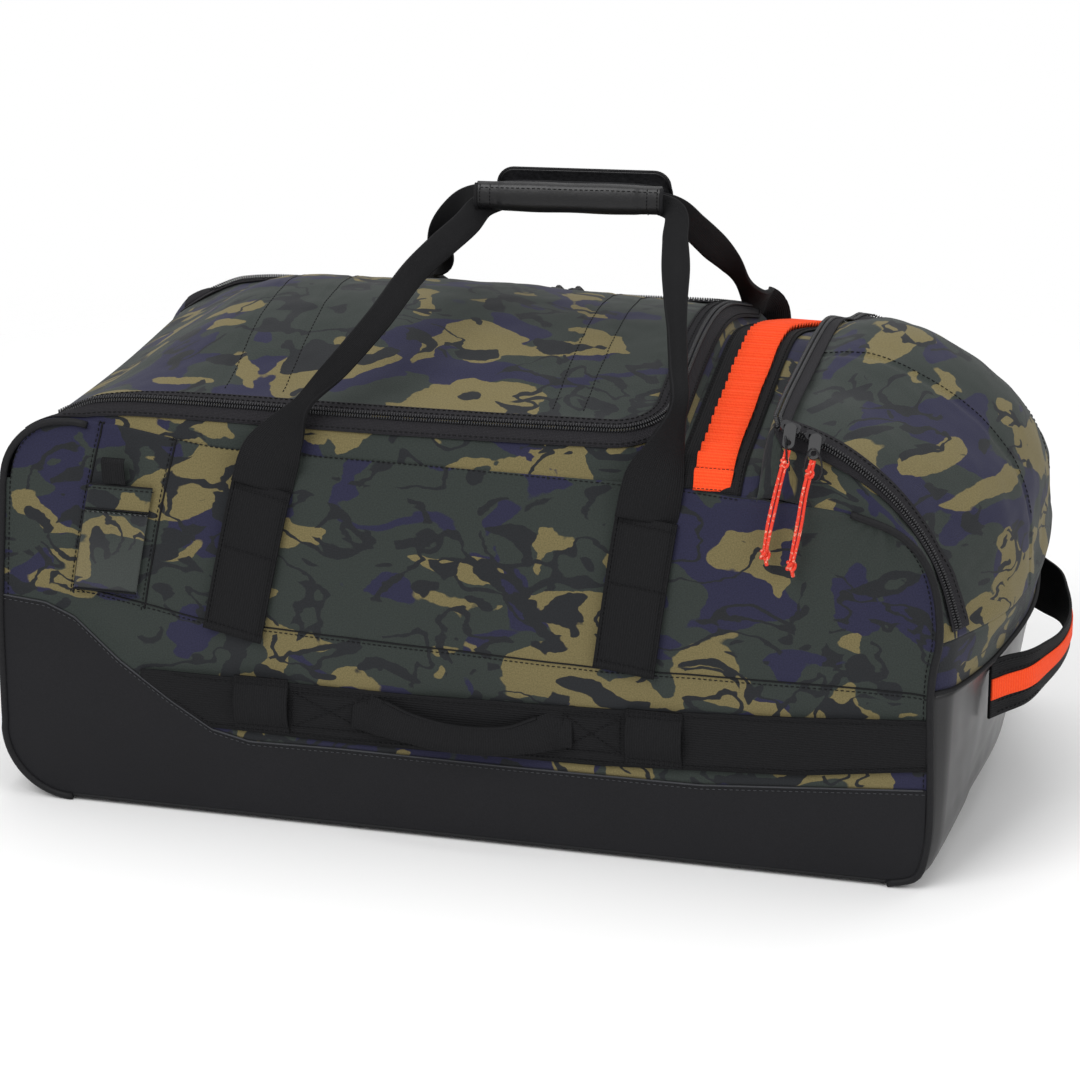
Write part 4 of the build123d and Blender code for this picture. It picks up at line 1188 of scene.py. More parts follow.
# ------------------------------------------------------------------ sewn panels
@dataclass
class Walls:
    """Front and back walls with their splash guards, seams and lash bands."""

    kit: Duffel
    columns: int = 230
    rows: int = 74
    band_low_x: tuple[float, ...] = (-258, -178, -95, 113, 269, 366)
    band_low_z: tuple[float, ...] = (75, 75, 73, 76, 84.5, 98)
    band_high_x: tuple[float, ...] = (-258, -46, 113, 268, 366)
    band_high_z: tuple[float, ...] = (119, 119, 123, 131.5, 139)

    def wall_points(self, low: Array, high: Array, x: Array, rows: int) -> Array:
        """A grid on the wall between two heights over each x, the end swelling a little.

        Args:
            low: lower height for each x.
            high: upper height for each x.
            x: places along the wall.
            rows: rows of the grid.

        Returns:
            The grid, at positive distances from the middle.
        """
        shape = self.kit.shape
        v = np.linspace(0, 1, rows)[:, None]
        z = low + (high - low) * v
        swell = np.interp(z, [158, 200, 225, 245], [0, 5, 4, 0]) * smooth((x - 250) / 116)
        swell = swell + (shape.left_x(z) - shape.left) * smooth((-320 - x) / 60)
        return np.stack([x + swell, shape.wall_y(x, z), z], -1)

    def spread_x(self, count: int) -> Array:
        """Positions along the wall, closer together at its rounded corners.

        Args:
            count: how many places.

        Returns:
            The places.
        """
        shape = self.kit.shape
        u = np.linspace(0, 1, count)
        eased = u - 0.09 * np.sin(2 * np.pi * u) * np.abs(np.cos(np.pi * u)) ** 0.5
        return shape.left + (shape.end_x - shape.left) * eased

    def build(self) -> None:
        """Make both walls."""
        kit, shape = self.kit, self.kit.shape
        x = self.spread_x(self.columns)
        for side in Side:
            node = f"{side.word}_panel"
            upper = self.wall_points(shape.tarp_edge(x), shape.side_top(x), x, self.rows)
            flat = upper[..., [0, 2]] + (0 if side is Side.FRONT else 640)
            creases = [Creases(11 + side.value, 2.2, 150, (1, 1, 0.7)),
                       Creases(31 + side.value, 0.9, 42, (1, 1, 1.4))]
            upper = self.gathers(pressed(upper, creases, 0.05))
            self.cloth = sheet_surface(mirrored(upper, side), flat)
            kit.panel(f"{side.word}_wall", self.cloth, [node])
            lower = self.wall_points(shape.side_bottom(x), shape.tarp_edge(x), x, 44)
            flat = lower[..., [0, 2]]
            lower = pressed(lower, [Creases(51 + side.value, 1.3, 190, (1.6, 1, 1))], 0.08)
            lower = lower + np.array([0, 0.7, 0])
            self.guard = sheet_surface(mirrored(lower, side), flat)
            guard = build(f"{side.word}_splash_guard", self.guard, kit.finishes.tarp, "bag",
                          (), 2.4)
            if side is Side.FRONT:
                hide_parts("splash_guards")
            self.seams(side, x)
            self.lash_band(side)
            self.piping(side)

    def gathers(self, points: Array) -> Array:
        """Folds that fan out from where the end zipper's gusset tucks in: a sine of the
        angle about that place, fading with distance.

        Args:
            points: the wall's grid.

        Returns:
            The grid with the folds pressed in.
        """
        dx, dz = points[..., 0] - 322, points[..., 2] - 300
        reach, angle = np.hypot(dx, dz), np.arctan2(dz, dx)
        depth = 2.6 * np.exp(-(reach / 52) ** 2) * (0.5 + 0.5 * np.sin(11 * angle + reach / 25))
        return points - np.stack([0 * depth, depth, 0 * depth], -1)

    def line_on(self, x: Array, z: Array, side: Side, lift: float) -> Array:
        """A line drawn on the wall."""
        y = self.kit.shape.wall_y(x, z) + lift
        return mirrored(np.column_stack([x, y, z]), side)

    def seams(self, side: Side, x: Array) -> None:
        """Stitch rows and seam lines on one wall.

        Args:
            side: the wall.
            x: places along it.
        """
        shape, threads = self.kit.shape, self.kit.threads
        out = np.array([0.0, float(side.value), 0.0])
        edge = self.line_on(x[4:-2], shape.tarp_edge(x[4:-2]) - 3.2, side, 0.9)
        threads.row(edge, out, colour="pale_thread", pitch=4.6, on=self.guard)
        rim = self.line_on(x[4:-2], shape.tarp_edge(x[4:-2]), side, 0.9)
        build(f"{side.word}_guard_edge", tube(resampled(rim, 5), 0.75, out, 6),
              self.kit.finishes.pale_thread, "bag")
        level = np.linspace(-313, 362, 150)
        seam = self.line_on(level, shape.seam_z(level), side, 0.2)
        build(f"{side.word}_level_seam", tube(settled(resampled(seam, 6), self.cloth), 0.7, out, 6),
              self.kit.finishes.thread, "bag")
        threads.row(self.line_on(level, shape.seam_z(level) - 3, side, 0.3), out, on=self.cloth)
        upper = np.linspace(-232, 215, 100)
        height = np.interp(upper, [-232, -100, 215], [306, 303, 299])
        threads.row(self.line_on(upper, height, side, 0.8), out, on=self.cloth)
        if side is Side.FRONT:
            for low, high in (((-315, 178), (-288, 331)), ((-257, 168), (-230, 306))):
                t = np.linspace(0, 1, 40)
                sx, sz = low[0] + (high[0] - low[0]) * t, low[1] + (high[1] - low[1]) * t
                threads.row(self.line_on(sx, sz, side, 0.6), out, on=self.cloth)
                seam = settled(self.line_on(sx + 2.5, sz, side, 0.2), self.cloth)
                build(f"pocket_seam_{int(-low[0])}", tube(seam, 0.8, out, 6),
                      self.kit.finishes.thread, "bag")

    def lash_band(self, side: Side) -> None:
        """The wide band along the wall, its two lash loops and box stitches.

        Args:
            side: the wall.
        """
        kit, shape, out = self.kit, self.kit.shape, np.array([0.0, float(side.value), 0.0])
        x = np.linspace(self.band_low_x[0], self.band_low_x[-1], 180)
        low = np.maximum(np.interp(x, self.band_low_x, self.band_low_z), shape.tarp_edge(x) + 1)
        high = np.maximum(np.interp(x, self.band_high_x, self.band_high_z), low + 0.6)
        grid = self.wall_points(low, high, x, 9) + np.array([0, 1.7, 0])
        grid[..., 1] += 0.5 * np.sin(np.pi * np.linspace(0, 1, 9))[:, None]
        band = build(f"{side.word}_lash_band", sheet_surface(mirrored(grid, side), grid[..., [0, 2]]),
                     kit.finishes.cross, "bag", (), 1.6)
        if side is Side.FRONT:
            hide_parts("lash_bands")
        for t in (0.07, 0.93):
            z = low[8:] + (high[8:] - low[8:]) * t
            kit.threads.row(self.line_on(x[8:], z, side, 2.3), out)
        for index, centre in enumerate((-158.0, 156.0)):
            self.lash_loop(side, index, centre)
        for left, right in ((-133, -72), (84, 129)):
            box = [(left, 83), (right, 83), (right, 112), (left, 112), (left, 83)]
            cross = [[(left, 83), (right, 112)], [(left, 112), (right, 83)]]
            for line in [box] + cross:
                corner = np.array(line, float)
                for a, b in zip(corner, corner[1:]):
                    at = np.linspace(a, b, 12)
                    rise = np.interp(at[:, 0], [-133, 129], [0, 5])
                    kit.threads.row(self.line_on(at[:, 0], at[:, 1] + rise, side, 2.5), out)

    def lash_loop(self, side: Side, index: int, centre: float) -> None:
        """A short upright loop of webbing, bowed off the band: half a sine wave.

        Args:
            side: the wall.
            index: the loop's number, from 0.
            centre: its place along the wall.
        """
        kit = self.kit
        t = np.linspace(0, 1, 26)
        z = 76 + 46 * t + (4 if centre > 0 else 0)
        bow = 2.9 + 4.6 * np.sin(np.pi * np.clip((t - 0.14) / 0.72, 0, 1)) ** 0.7
        path = mirrored(np.column_stack([np.full(26, centre), kit.shape.half + bow, z]), side)
        across = same([1.0, 0, 0], path)
        off = same([0.0, side.value, 0], path)
        build(f"{side.word}_lash_loop_{index + 1}", swept(path, across, off, strap_outline(44, 1.8)),
              kit.finishes.webbing, "bag")
        for spot in (1, 3, -2, -4):
            ends = path[spot] + np.array([[-20.0, side.value * 1.1, 0], [20, side.value * 1.1, 0]])
            kit.threads.row(np.linspace(*ends, 6), (0, side.value, 0))

    def piping(self, side: Side) -> None:
        """Rolled piping around one wall's ends, and along its foot.

        Args:
            side: the wall.
        """
        shape, kit = self.kit.shape, self.kit
        turn = np.linspace(1.5 * np.pi, np.pi, 14)
        low = np.column_stack([shape.left + 5 + shape.low_corner * (1 + np.cos(turn)),
                               shape.floor + shape.low_corner * (1 + np.sin(turn))])
        turn = np.linspace(np.pi, 0.5 * np.pi, 14)
        radius = shape.high_corner - 3
        high = np.column_stack([shape.left + 12 + radius * (1 + np.cos(turn)),
                                shape.corner_z + radius * np.sin(turn)])
        z = np.linspace(62, shape.corner_z - 4, 20)
        rise = np.column_stack([shape.left_x(z) + 2, z])
        outline = np.vstack([low, rise, high, [(-312, 312.5), (-301, 311)]])
        y = shape.wall_y(outline[:, 0], outline[:, 1]) + 0.6
        path = mirrored(np.column_stack([outline[:, 0], y, outline[:, 1]]), side)
        roll = tube(resampled(path, 5), 3.0, (0, 1, 0), 10)
        places = np.linspace(1.0, 10.6, 70)
        edge = shape.end(places, shape.half * side.value)[:, 0]
        edge[:, 1] += 0.4 * side.value
        foot = np.array([[shape.left + shape.low_corner, shape.half * side.value, 4.4],
                         [0, shape.half * side.value, 4.4], [343, shape.half * side.value, 4.4]])
        surface = roll + tube(resampled(edge, 5), 3.0, (0, 1, 0), 10)
        surface = surface + tube(resampled(foot, 12), 1.6, (0, 1, 0), 8)
        piece = build(f"{side.word}_piping", surface, kit.finishes.piping, "bag")
        if side is Side.FRONT:
            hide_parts("piping")
        inset = edge[8:50] + np.array([-5.5, 0.5 * side.value, 0])
        kit.threads.row(inset, (0, side.value, 0), on=self.cloth)
        lower = np.column_stack([outline[:, 0] + 6, y - 0.2, outline[:, 1]])[16:-6]
        kit.threads.row(mirrored(lower, side), (0, side.value, 0), on=self.cloth)


@dataclass
class WheelEnd:
    """The left end: tarpaulin below, cloth above, cut out around the wheels; and the floor."""

    kit: Duffel
    tarp_z: float = 168.0
    well_top: float = 100.0
    well: tuple[float, float] = (149.0, 195.0)

    def profile(self, share: Array) -> tuple[Array, Array, int, int]:
        """Grid of x and z from the floor round to the lid's hinge.

        Args:
            share: shares of the half width, from -1 to 1.

        Returns:
            x, z, the row at the wells' top and the row where the cloth starts.
        """
        shape = self.kit.shape
        turn = np.linspace(1.5 * np.pi, np.pi, 14)[:, None]
        low_x = shape.left + shape.low_corner * (1 + np.cos(turn)) + 0 * share
        low_z = shape.floor + shape.low_corner * (1 + np.sin(turn)) + 0 * share
        levels = np.concatenate([np.linspace(58, self.well_top, 6)[1:],
                                 np.linspace(self.well_top, self.tarp_z, 9)[1:]])
        mid = levels[:, None] + 0 * share
        rise = self.tarp_z + (262.5 - self.tarp_z) * np.linspace(0, 1, 22)[1:, None] + 0 * share
        high_x = np.linspace(shape.left + 10.5, self.kit.rail.lid_left, 14)[:, None] + 0 * share
        high_z = shape.top(high_x, share * shape.rail_y)
        straight = shape.left_x(np.vstack([mid, rise]))
        x = np.vstack([low_x + 3.5, straight, high_x])
        z = np.vstack([low_z, mid, rise, high_z])
        return x, z, 14 + 5 - 1, 14 + len(levels) - 1

    def build(self) -> None:
        """Make the end's two panels, their seam and the floor panel."""
        kit, shape = self.kit, self.kit.shape
        low, high = (w / shape.half for w in self.well)
        share = np.concatenate([np.linspace(-1, -high, 5), np.linspace(-high, -low, 9)[1:],
                                np.linspace(-low, low, 71)[1:], np.linspace(low, high, 9)[1:],
                                np.linspace(high, 1, 5)[1:]])
        x, z, well_row, tarp_row = self.profile(share)
        to_rail = np.interp(z, [263, 267], [float(shape.lean(263)), shape.rail_y])
        y = share * np.where(z < 263, shape.lean(z), to_rail)
        grid = np.stack([x, y, z], -1)
        flat = np.stack([y + 900, np.cumsum(np.hypot(np.gradient(x, axis=0), np.gradient(z, axis=0)),
                                           axis=0)], -1)
        middle = (np.abs(share[:-1] + share[1:]) / 2)
        in_well = (middle > low) & (middle < high)
        rows = np.arange(len(x) - 1)
        keep = ~((rows[:, None] < well_row) & in_well[None])
        upper = pressed(grid[tarp_row:], [Creases(71, 2.4, 120), Creases(72, 0.8, 40)], 0.1)
        kit.panel("wheel_end_cloth", sheet_surface(upper, flat[tarp_row:]), ["wheel_end_yoke"])
        lower = grid[:tarp_row + 1] - np.array([0.5, 0, 0])
        build("wheel_end_tarpaulin", sheet_surface(lower, flat[:tarp_row + 1], keep[:tarp_row]),
              kit.finishes.tarp, "bag", ["wheel_end_panel"], 2.4, kit.finishes.lining)
        seam = grid[tarp_row] - np.array([0.6, 0, 0])
        kit.threads.row(seam - np.array([0.4, 0, 3.0]), (-1, 0, 0), colour="pale_thread")
        build("wheel_end_seam", tube(resampled(seam, 6), 0.8, (1, 0, 0), 6),
              kit.finishes.pale_thread, "bag")
        self.floor_panel(share)

    def floor_panel(self, share: Array) -> None:
        """The flat bottom, cut out at the wheels.

        Args:
            share: shares of the half width, from -1 to 1.
        """
        kit, shape = self.kit, self.kit.shape
        x = np.concatenate([np.linspace(shape.left + shape.low_corner, -292, 6),
                            np.linspace(-292, 344, 60)[1:]])
        grid = np.stack(np.broadcast_arrays(x[:, None], share * shape.half, shape.floor + 0.6), -1)
        middle = np.abs(share[:-1] + share[1:]) / 2 * shape.half
        in_well = (middle > self.well[0]) & (middle < self.well[1])
        keep = ~((x[:-1, None] < -293) & in_well[None])
        build("floor_cloth", sheet_surface(grid, grid[..., :2], keep), kit.finishes.tarp, "bag",
              ["bottom_panel"], 2.0, kit.finishes.lining)


@dataclass
class Top:
    """The lid, the rim around its zipper, the yoke, and the band with the gear loops."""

    kit: Duffel
    seam_x: tuple[float, ...] = (-205.0, -158.0, 58.0, 82.0)
    band: tuple[float, float] = (168.0, 219.0)
    stripe: tuple[float, float] = (182.0, 210.0)
    loops: int = 34

    def build(self) -> None:
        """Make the top's pieces."""
        self.rim()
        self.lid()
        self.yoke()
        self.gear_loops()

    def rim(self) -> None:
        """The shoulder strip around the zipper."""
        kit = self.kit
        share = np.linspace(0, 1, 15)
        grid = kit.rail.rim(share)
        path = along(kit.rail.path)
        flat = np.stack([path[:, None] + 0 * share, kit.rail.width[:, None] * share + 1500], -1)
        grid = pressed(grid, [Creases(81, 1.4, 90), Creases(82, 0.6, 35)], 0.03)
        kit.panel("shoulder_strip", sheet_surface(grid, flat), ["shoulders"])

    def lid(self) -> None:
        """The lid: a grid whose rows follow the rail's width at each x."""
        kit, shape, rail = self.kit, self.kit.shape, self.kit.rail
        ease = np.sin(np.linspace(0, np.pi / 2, 40)) * rail.radius
        x = np.concatenate([np.linspace(rail.lid_left, rail.lid_right - rail.radius, 150)[:-1],
                            rail.lid_right - rail.radius + ease])
        inside = np.clip(x - (rail.lid_right - rail.radius), 0, rail.radius)
        width = shape.rail_y - rail.radius + np.sqrt(np.maximum(rail.radius ** 2 - inside ** 2, 0))
        v = np.linspace(-1, 1, 121)[:, None]
        y = width * v
        z = shape.top(x, y)
        for seam in self.seam_x:
            z = z - 1.3 * np.exp(-((x - seam) / 2.6) ** 2)
        z = z + 1.6 * smooth(1 - np.abs(x + 60) / 90) * smooth(1 - np.abs(y) / 150)
        grid = np.stack([x + 0 * y, y, z], -1)
        flat = grid[..., :2] + (0, 2300)
        creases = [Creases(91, 3.0, 130), Creases(92, 1.1, 46, (1.4, 0.8, 1)),
                   Creases(93, 0.5, 20)]
        grid = pressed(grid, creases, 0.06)
        cloth = sheet_surface(grid, flat)
        piece = kit.panel("lid_cloth", cloth, ["main_lid"], "main_lid", 2.2, ride=False)
        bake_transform(piece)
        for seam in self.seam_x:
            y = np.linspace(-150, 150, 80)
            path = np.column_stack([np.full(80, seam + 3), y, shape.top(seam, y) - 1.0])
            kit.threads.row(path, (0, 0, 1), "main_lid", on=cloth)

    def yoke(self) -> None:
        """The yoke strip and the black band sewn over it."""
        kit, shape = self.kit, self.kit.shape
        grid = self.arched(shape.band_x, shape.crease_x)
        cloth = sheet_surface(pressed(grid, [Creases(101, 1.0, 60)], 0.1), grid[..., :2] + (0, 3100))
        kit.panel("centre_yoke_cloth", cloth, ["centre_yoke"])
        grid = self.arched(*self.band)
        rise = 1.6 + 0.4 * np.sin(np.pi * np.linspace(0, 1, grid.shape[1]))
        grid = grid + grid_normals(grid) * rise[..., None]
        build("cross_band", sheet_surface(grid, grid[..., :2] + (0, 3100)), kit.finishes.webbing,
              "bag", ["black_band"], 1.4)
        for x in (self.band[0] + 2.5, self.band[1] - 2.5):
            kit.threads.row(self.over(np.full(120, x), 2.3, 120), (0, 0, 1))

    def arched(self, low: float, high: float) -> Array:
        """A grid over the yoke between two x, dipping at the crease by a narrow bell curve.

        Args:
            low: its left edge.
            high: its right edge.

        Returns:
            The grid.
        """
        shape = self.kit.shape
        x = np.linspace(low, high, 24)
        edge = shape.wall_y(x, shape.wall_top)
        y = edge * np.linspace(-1, 1, 141)[:, None]
        dip = 2.5 * np.exp(-((x - shape.crease_x) / 6) ** 2)
        return np.stack([x + 0 * y, y, shape.yoke_z(y, edge) - dip], -1)

    def over(self, x: Array, lift: float, count: int) -> Array:
        """A line over the yoke from front to back at given x.

        Args:
            x: place of each point.
            lift: height over the cloth.
            count: how many points.

        Returns:
            The line.
        """
        shape = self.kit.shape
        edge = shape.wall_y(x, shape.wall_top)
        y = edge * np.linspace(-1, 1, count)
        z = shape.yoke_z(y, edge)
        off = unit(np.column_stack([-np.gradient(z) / np.gradient(y), np.ones(count)]))
        return np.column_stack([x, y + off[:, 0] * lift, z + off[:, 1] * lift])

    def gear_loops(self) -> None:
        """Orange webbing sewn down between loops: its height over the band is a row of humps,
        the root of half sine waves that lean to the front."""
        kit, shape = self.kit, self.kit.shape
        count = self.loops * 12 + 1
        x = np.full(count, sum(self.stripe) / 2)
        base = self.over(x, 2.2, count)
        phase = np.linspace(0, self.loops, count) % 1.0
        lean = np.clip(phase ** 1.9, 0, 1)
        hump = 3.5 * np.sin(np.pi * lean) ** 0.7
        line = base + np.column_stack([0 * hump, 0 * hump, hump])
        across = same([1.0, 0, 0], line)
        off = unit(np.cross(across, unit(np.gradient(base, axis=0))))
        sway = 1 + 0.05 * np.sin(np.pi * lean) + 0.02 * np.sin(np.linspace(0, 40, count))
        webbing = swept(line, across, off, strap_outline((self.stripe[1] - self.stripe[0]) * sway, 1.5))
        build("gear_loops", webbing, kit.finishes.orange, "bag")
        for k in range(self.loops + 1):
            spot = base[min(k * 12, count - 1)] + np.array([0, 0, 1.2])
            ends = spot + np.array([[-13.0, 0, 0], [13.0, 0, 0]])
            kit.threads.row(np.linspace(*ends, 5), (0, 0, 1), pitch=3.4, length=2.4)


@dataclass
class EndCompartment:
    """The end with its flap, gussets, tarpaulin foot and the tuck behind its zipper."""

    kit: Duffel
    tarp_z: float = 160.0
    cup: tuple[float, float, float] = (112.0, 10.0, 46.0)
    seams_y: tuple[float, ...] = (-62.0, 62.0)

    def build(self) -> None:
        """Make the end's panels."""
        self.foot()
        self.flap()
        self.gussets()
        self.tuck()

    def foot(self) -> None:
        """Tarpaulin below, cut out around the pull handle's cup, and a cloth strip above."""
        kit, shape = self.kit, self.kit.shape
        levels = np.concatenate([[shape.floor, self.cup[1]], np.linspace(self.cup[1], self.cup[2], 10)[1:],
                                 np.linspace(self.cup[2], self.tarp_z, 22)[1:]])
        places = [shape.end_place(z) for z in levels]
        c = self.cup[0]
        y = np.concatenate([np.linspace(-shape.half, -c, 22), np.linspace(-c, c, 50)[1:],
                            np.linspace(c, shape.half, 22)[1:]])
        grid = shape.end(places, y)
        middle = (y[:-1] + y[1:]) / 2
        hole = (levels[:-1, None] > self.cup[1] - 0.1) & (levels[1:, None] < self.cup[2] + 0.1)
        keep = ~(hole & (np.abs(middle) < c))
        flat = grid[..., [1, 2]]
        grid = grid + grid_normals(grid) * 0.5
        upper = grid[10:]
        grid[10:] = pressed(upper, [Creases(141, 2.2, 95), Creases(142, 0.8, 34)], 0.12)
        build("handle_end_tarpaulin", sheet_surface(grid, flat, keep), kit.finishes.gloss_tarp, "bag",
              ["handle_end_panel"], 2.4, kit.finishes.lining)
        seam = shape.end(shape.end_place(self.tarp_z), np.linspace(-shape.half, shape.half, 90))[0]
        build("handle_end_piping", tube(resampled(seam + (1.0, 0, 0), 5), 2.2, (1, 0, 0), 8),
              kit.finishes.piping, "bag")
        strip = shape.end(np.linspace(shape.end_place(self.tarp_z), shape.flap_start, 14),
                          np.linspace(-shape.half, shape.half, 120))
        cloth = pressed(strip, [Creases(111, 1.5, 70)], 0.1)
        kit.panel("handle_end_cloth", sheet_surface(cloth, strip[..., [1, 2]] + (4000, 0)))

    def flap(self) -> None:
        """The flap that opens the end, seamed down both sides."""
        kit, shape = self.kit, self.kit.shape
        y = np.linspace(-shape.arch_y, shape.arch_y, 150)
        grid = shape.end(np.linspace(shape.flap_start, shape.flap_top, 130), y)
        valley = sum(1.6 * np.exp(-((y - s) / 2.6) ** 2) for s in self.seams_y)
        grid = grid - grid_normals(grid) * np.broadcast_to(valley, grid.shape[:2])[..., None]
        run = measured(grid, 0)
        flat = np.stack([grid[..., 1], run], -1) + (5000, 0)
        grid = pressed(grid, [Creases(121, 3.4, 120), Creases(122, 1.2, 45), Creases(123, 0.5, 20)], 0.05)
        cloth = sheet_surface(grid, flat)
        piece = kit.panel("flap_cloth", cloth, ["end_flap"], "end_flap", 2.2, ride=False)
        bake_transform(piece)
        for seam in self.seams_y:
            line = shape.end(np.linspace(5.4, shape.flap_top - 0.4, 80), seam + 3.5)[:, 0]
            kit.threads.row(line, (0.6, 0, 0.8), "end_flap", on=cloth)

    def gussets(self) -> None:
        """The cloth between the end zipper and the piped edge, front and back."""
        kit, shape = self.kit, self.kit.shape
        for side in Side:
            y = np.linspace(shape.arch_y, shape.half, 16) * side.value
            grid = shape.end(np.linspace(shape.flap_start, shape.flap_top, 110), y)
            run = measured(grid, 0)
            wide = measured(grid, 1)
            flat = np.stack([run, wide], -1) + (0, 6000 + 300 * side.value)
            grid = pressed(grid, [Creases(131, 1.6, 60), Creases(132, 0.8, 28)], 0.06)
            piece = kit.panel(f"{side.word}_gusset_cloth", sheet_surface(grid, flat), thick=2.2)
            if side is Side.FRONT:
                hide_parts("end_gussets")

    def tuck(self) -> None:
        """From the flap's top edge down to the yoke's crease, rounding over."""
        kit, shape = self.kit, self.kit.shape
        y = np.linspace(-shape.half, shape.half, 150)
        start = shape.end(shape.flap_top, y)[0]
        before = shape.end(shape.flap_top - 0.25, y)[0]
        edge = shape.wall_y(shape.crease_x, shape.wall_top)
        foot = np.column_stack([np.full(150, shape.crease_x), y * edge / shape.half,
                                shape.yoke_z(y * edge / shape.half, edge) - 2.0])
        lead = (start - before) / 0.25 * 0.8
        t = np.linspace(0, 1, 12)[:, None, None]
        grid = ((2 * t ** 3 - 3 * t ** 2 + 1) * start + (t ** 3 - 2 * t ** 2 + t) * lead * 0.8
                + (3 * t ** 2 - 2 * t ** 3) * foot + (t ** 3 - t ** 2) * np.array([0, 0, -22.0]))
        cloth = sheet_surface(grid, grid[..., :2] + (7000, 0), away=np.array([320.0, 0, 150.0]))
        kit.panel("end_tuck_cloth", cloth, thick=2.2)


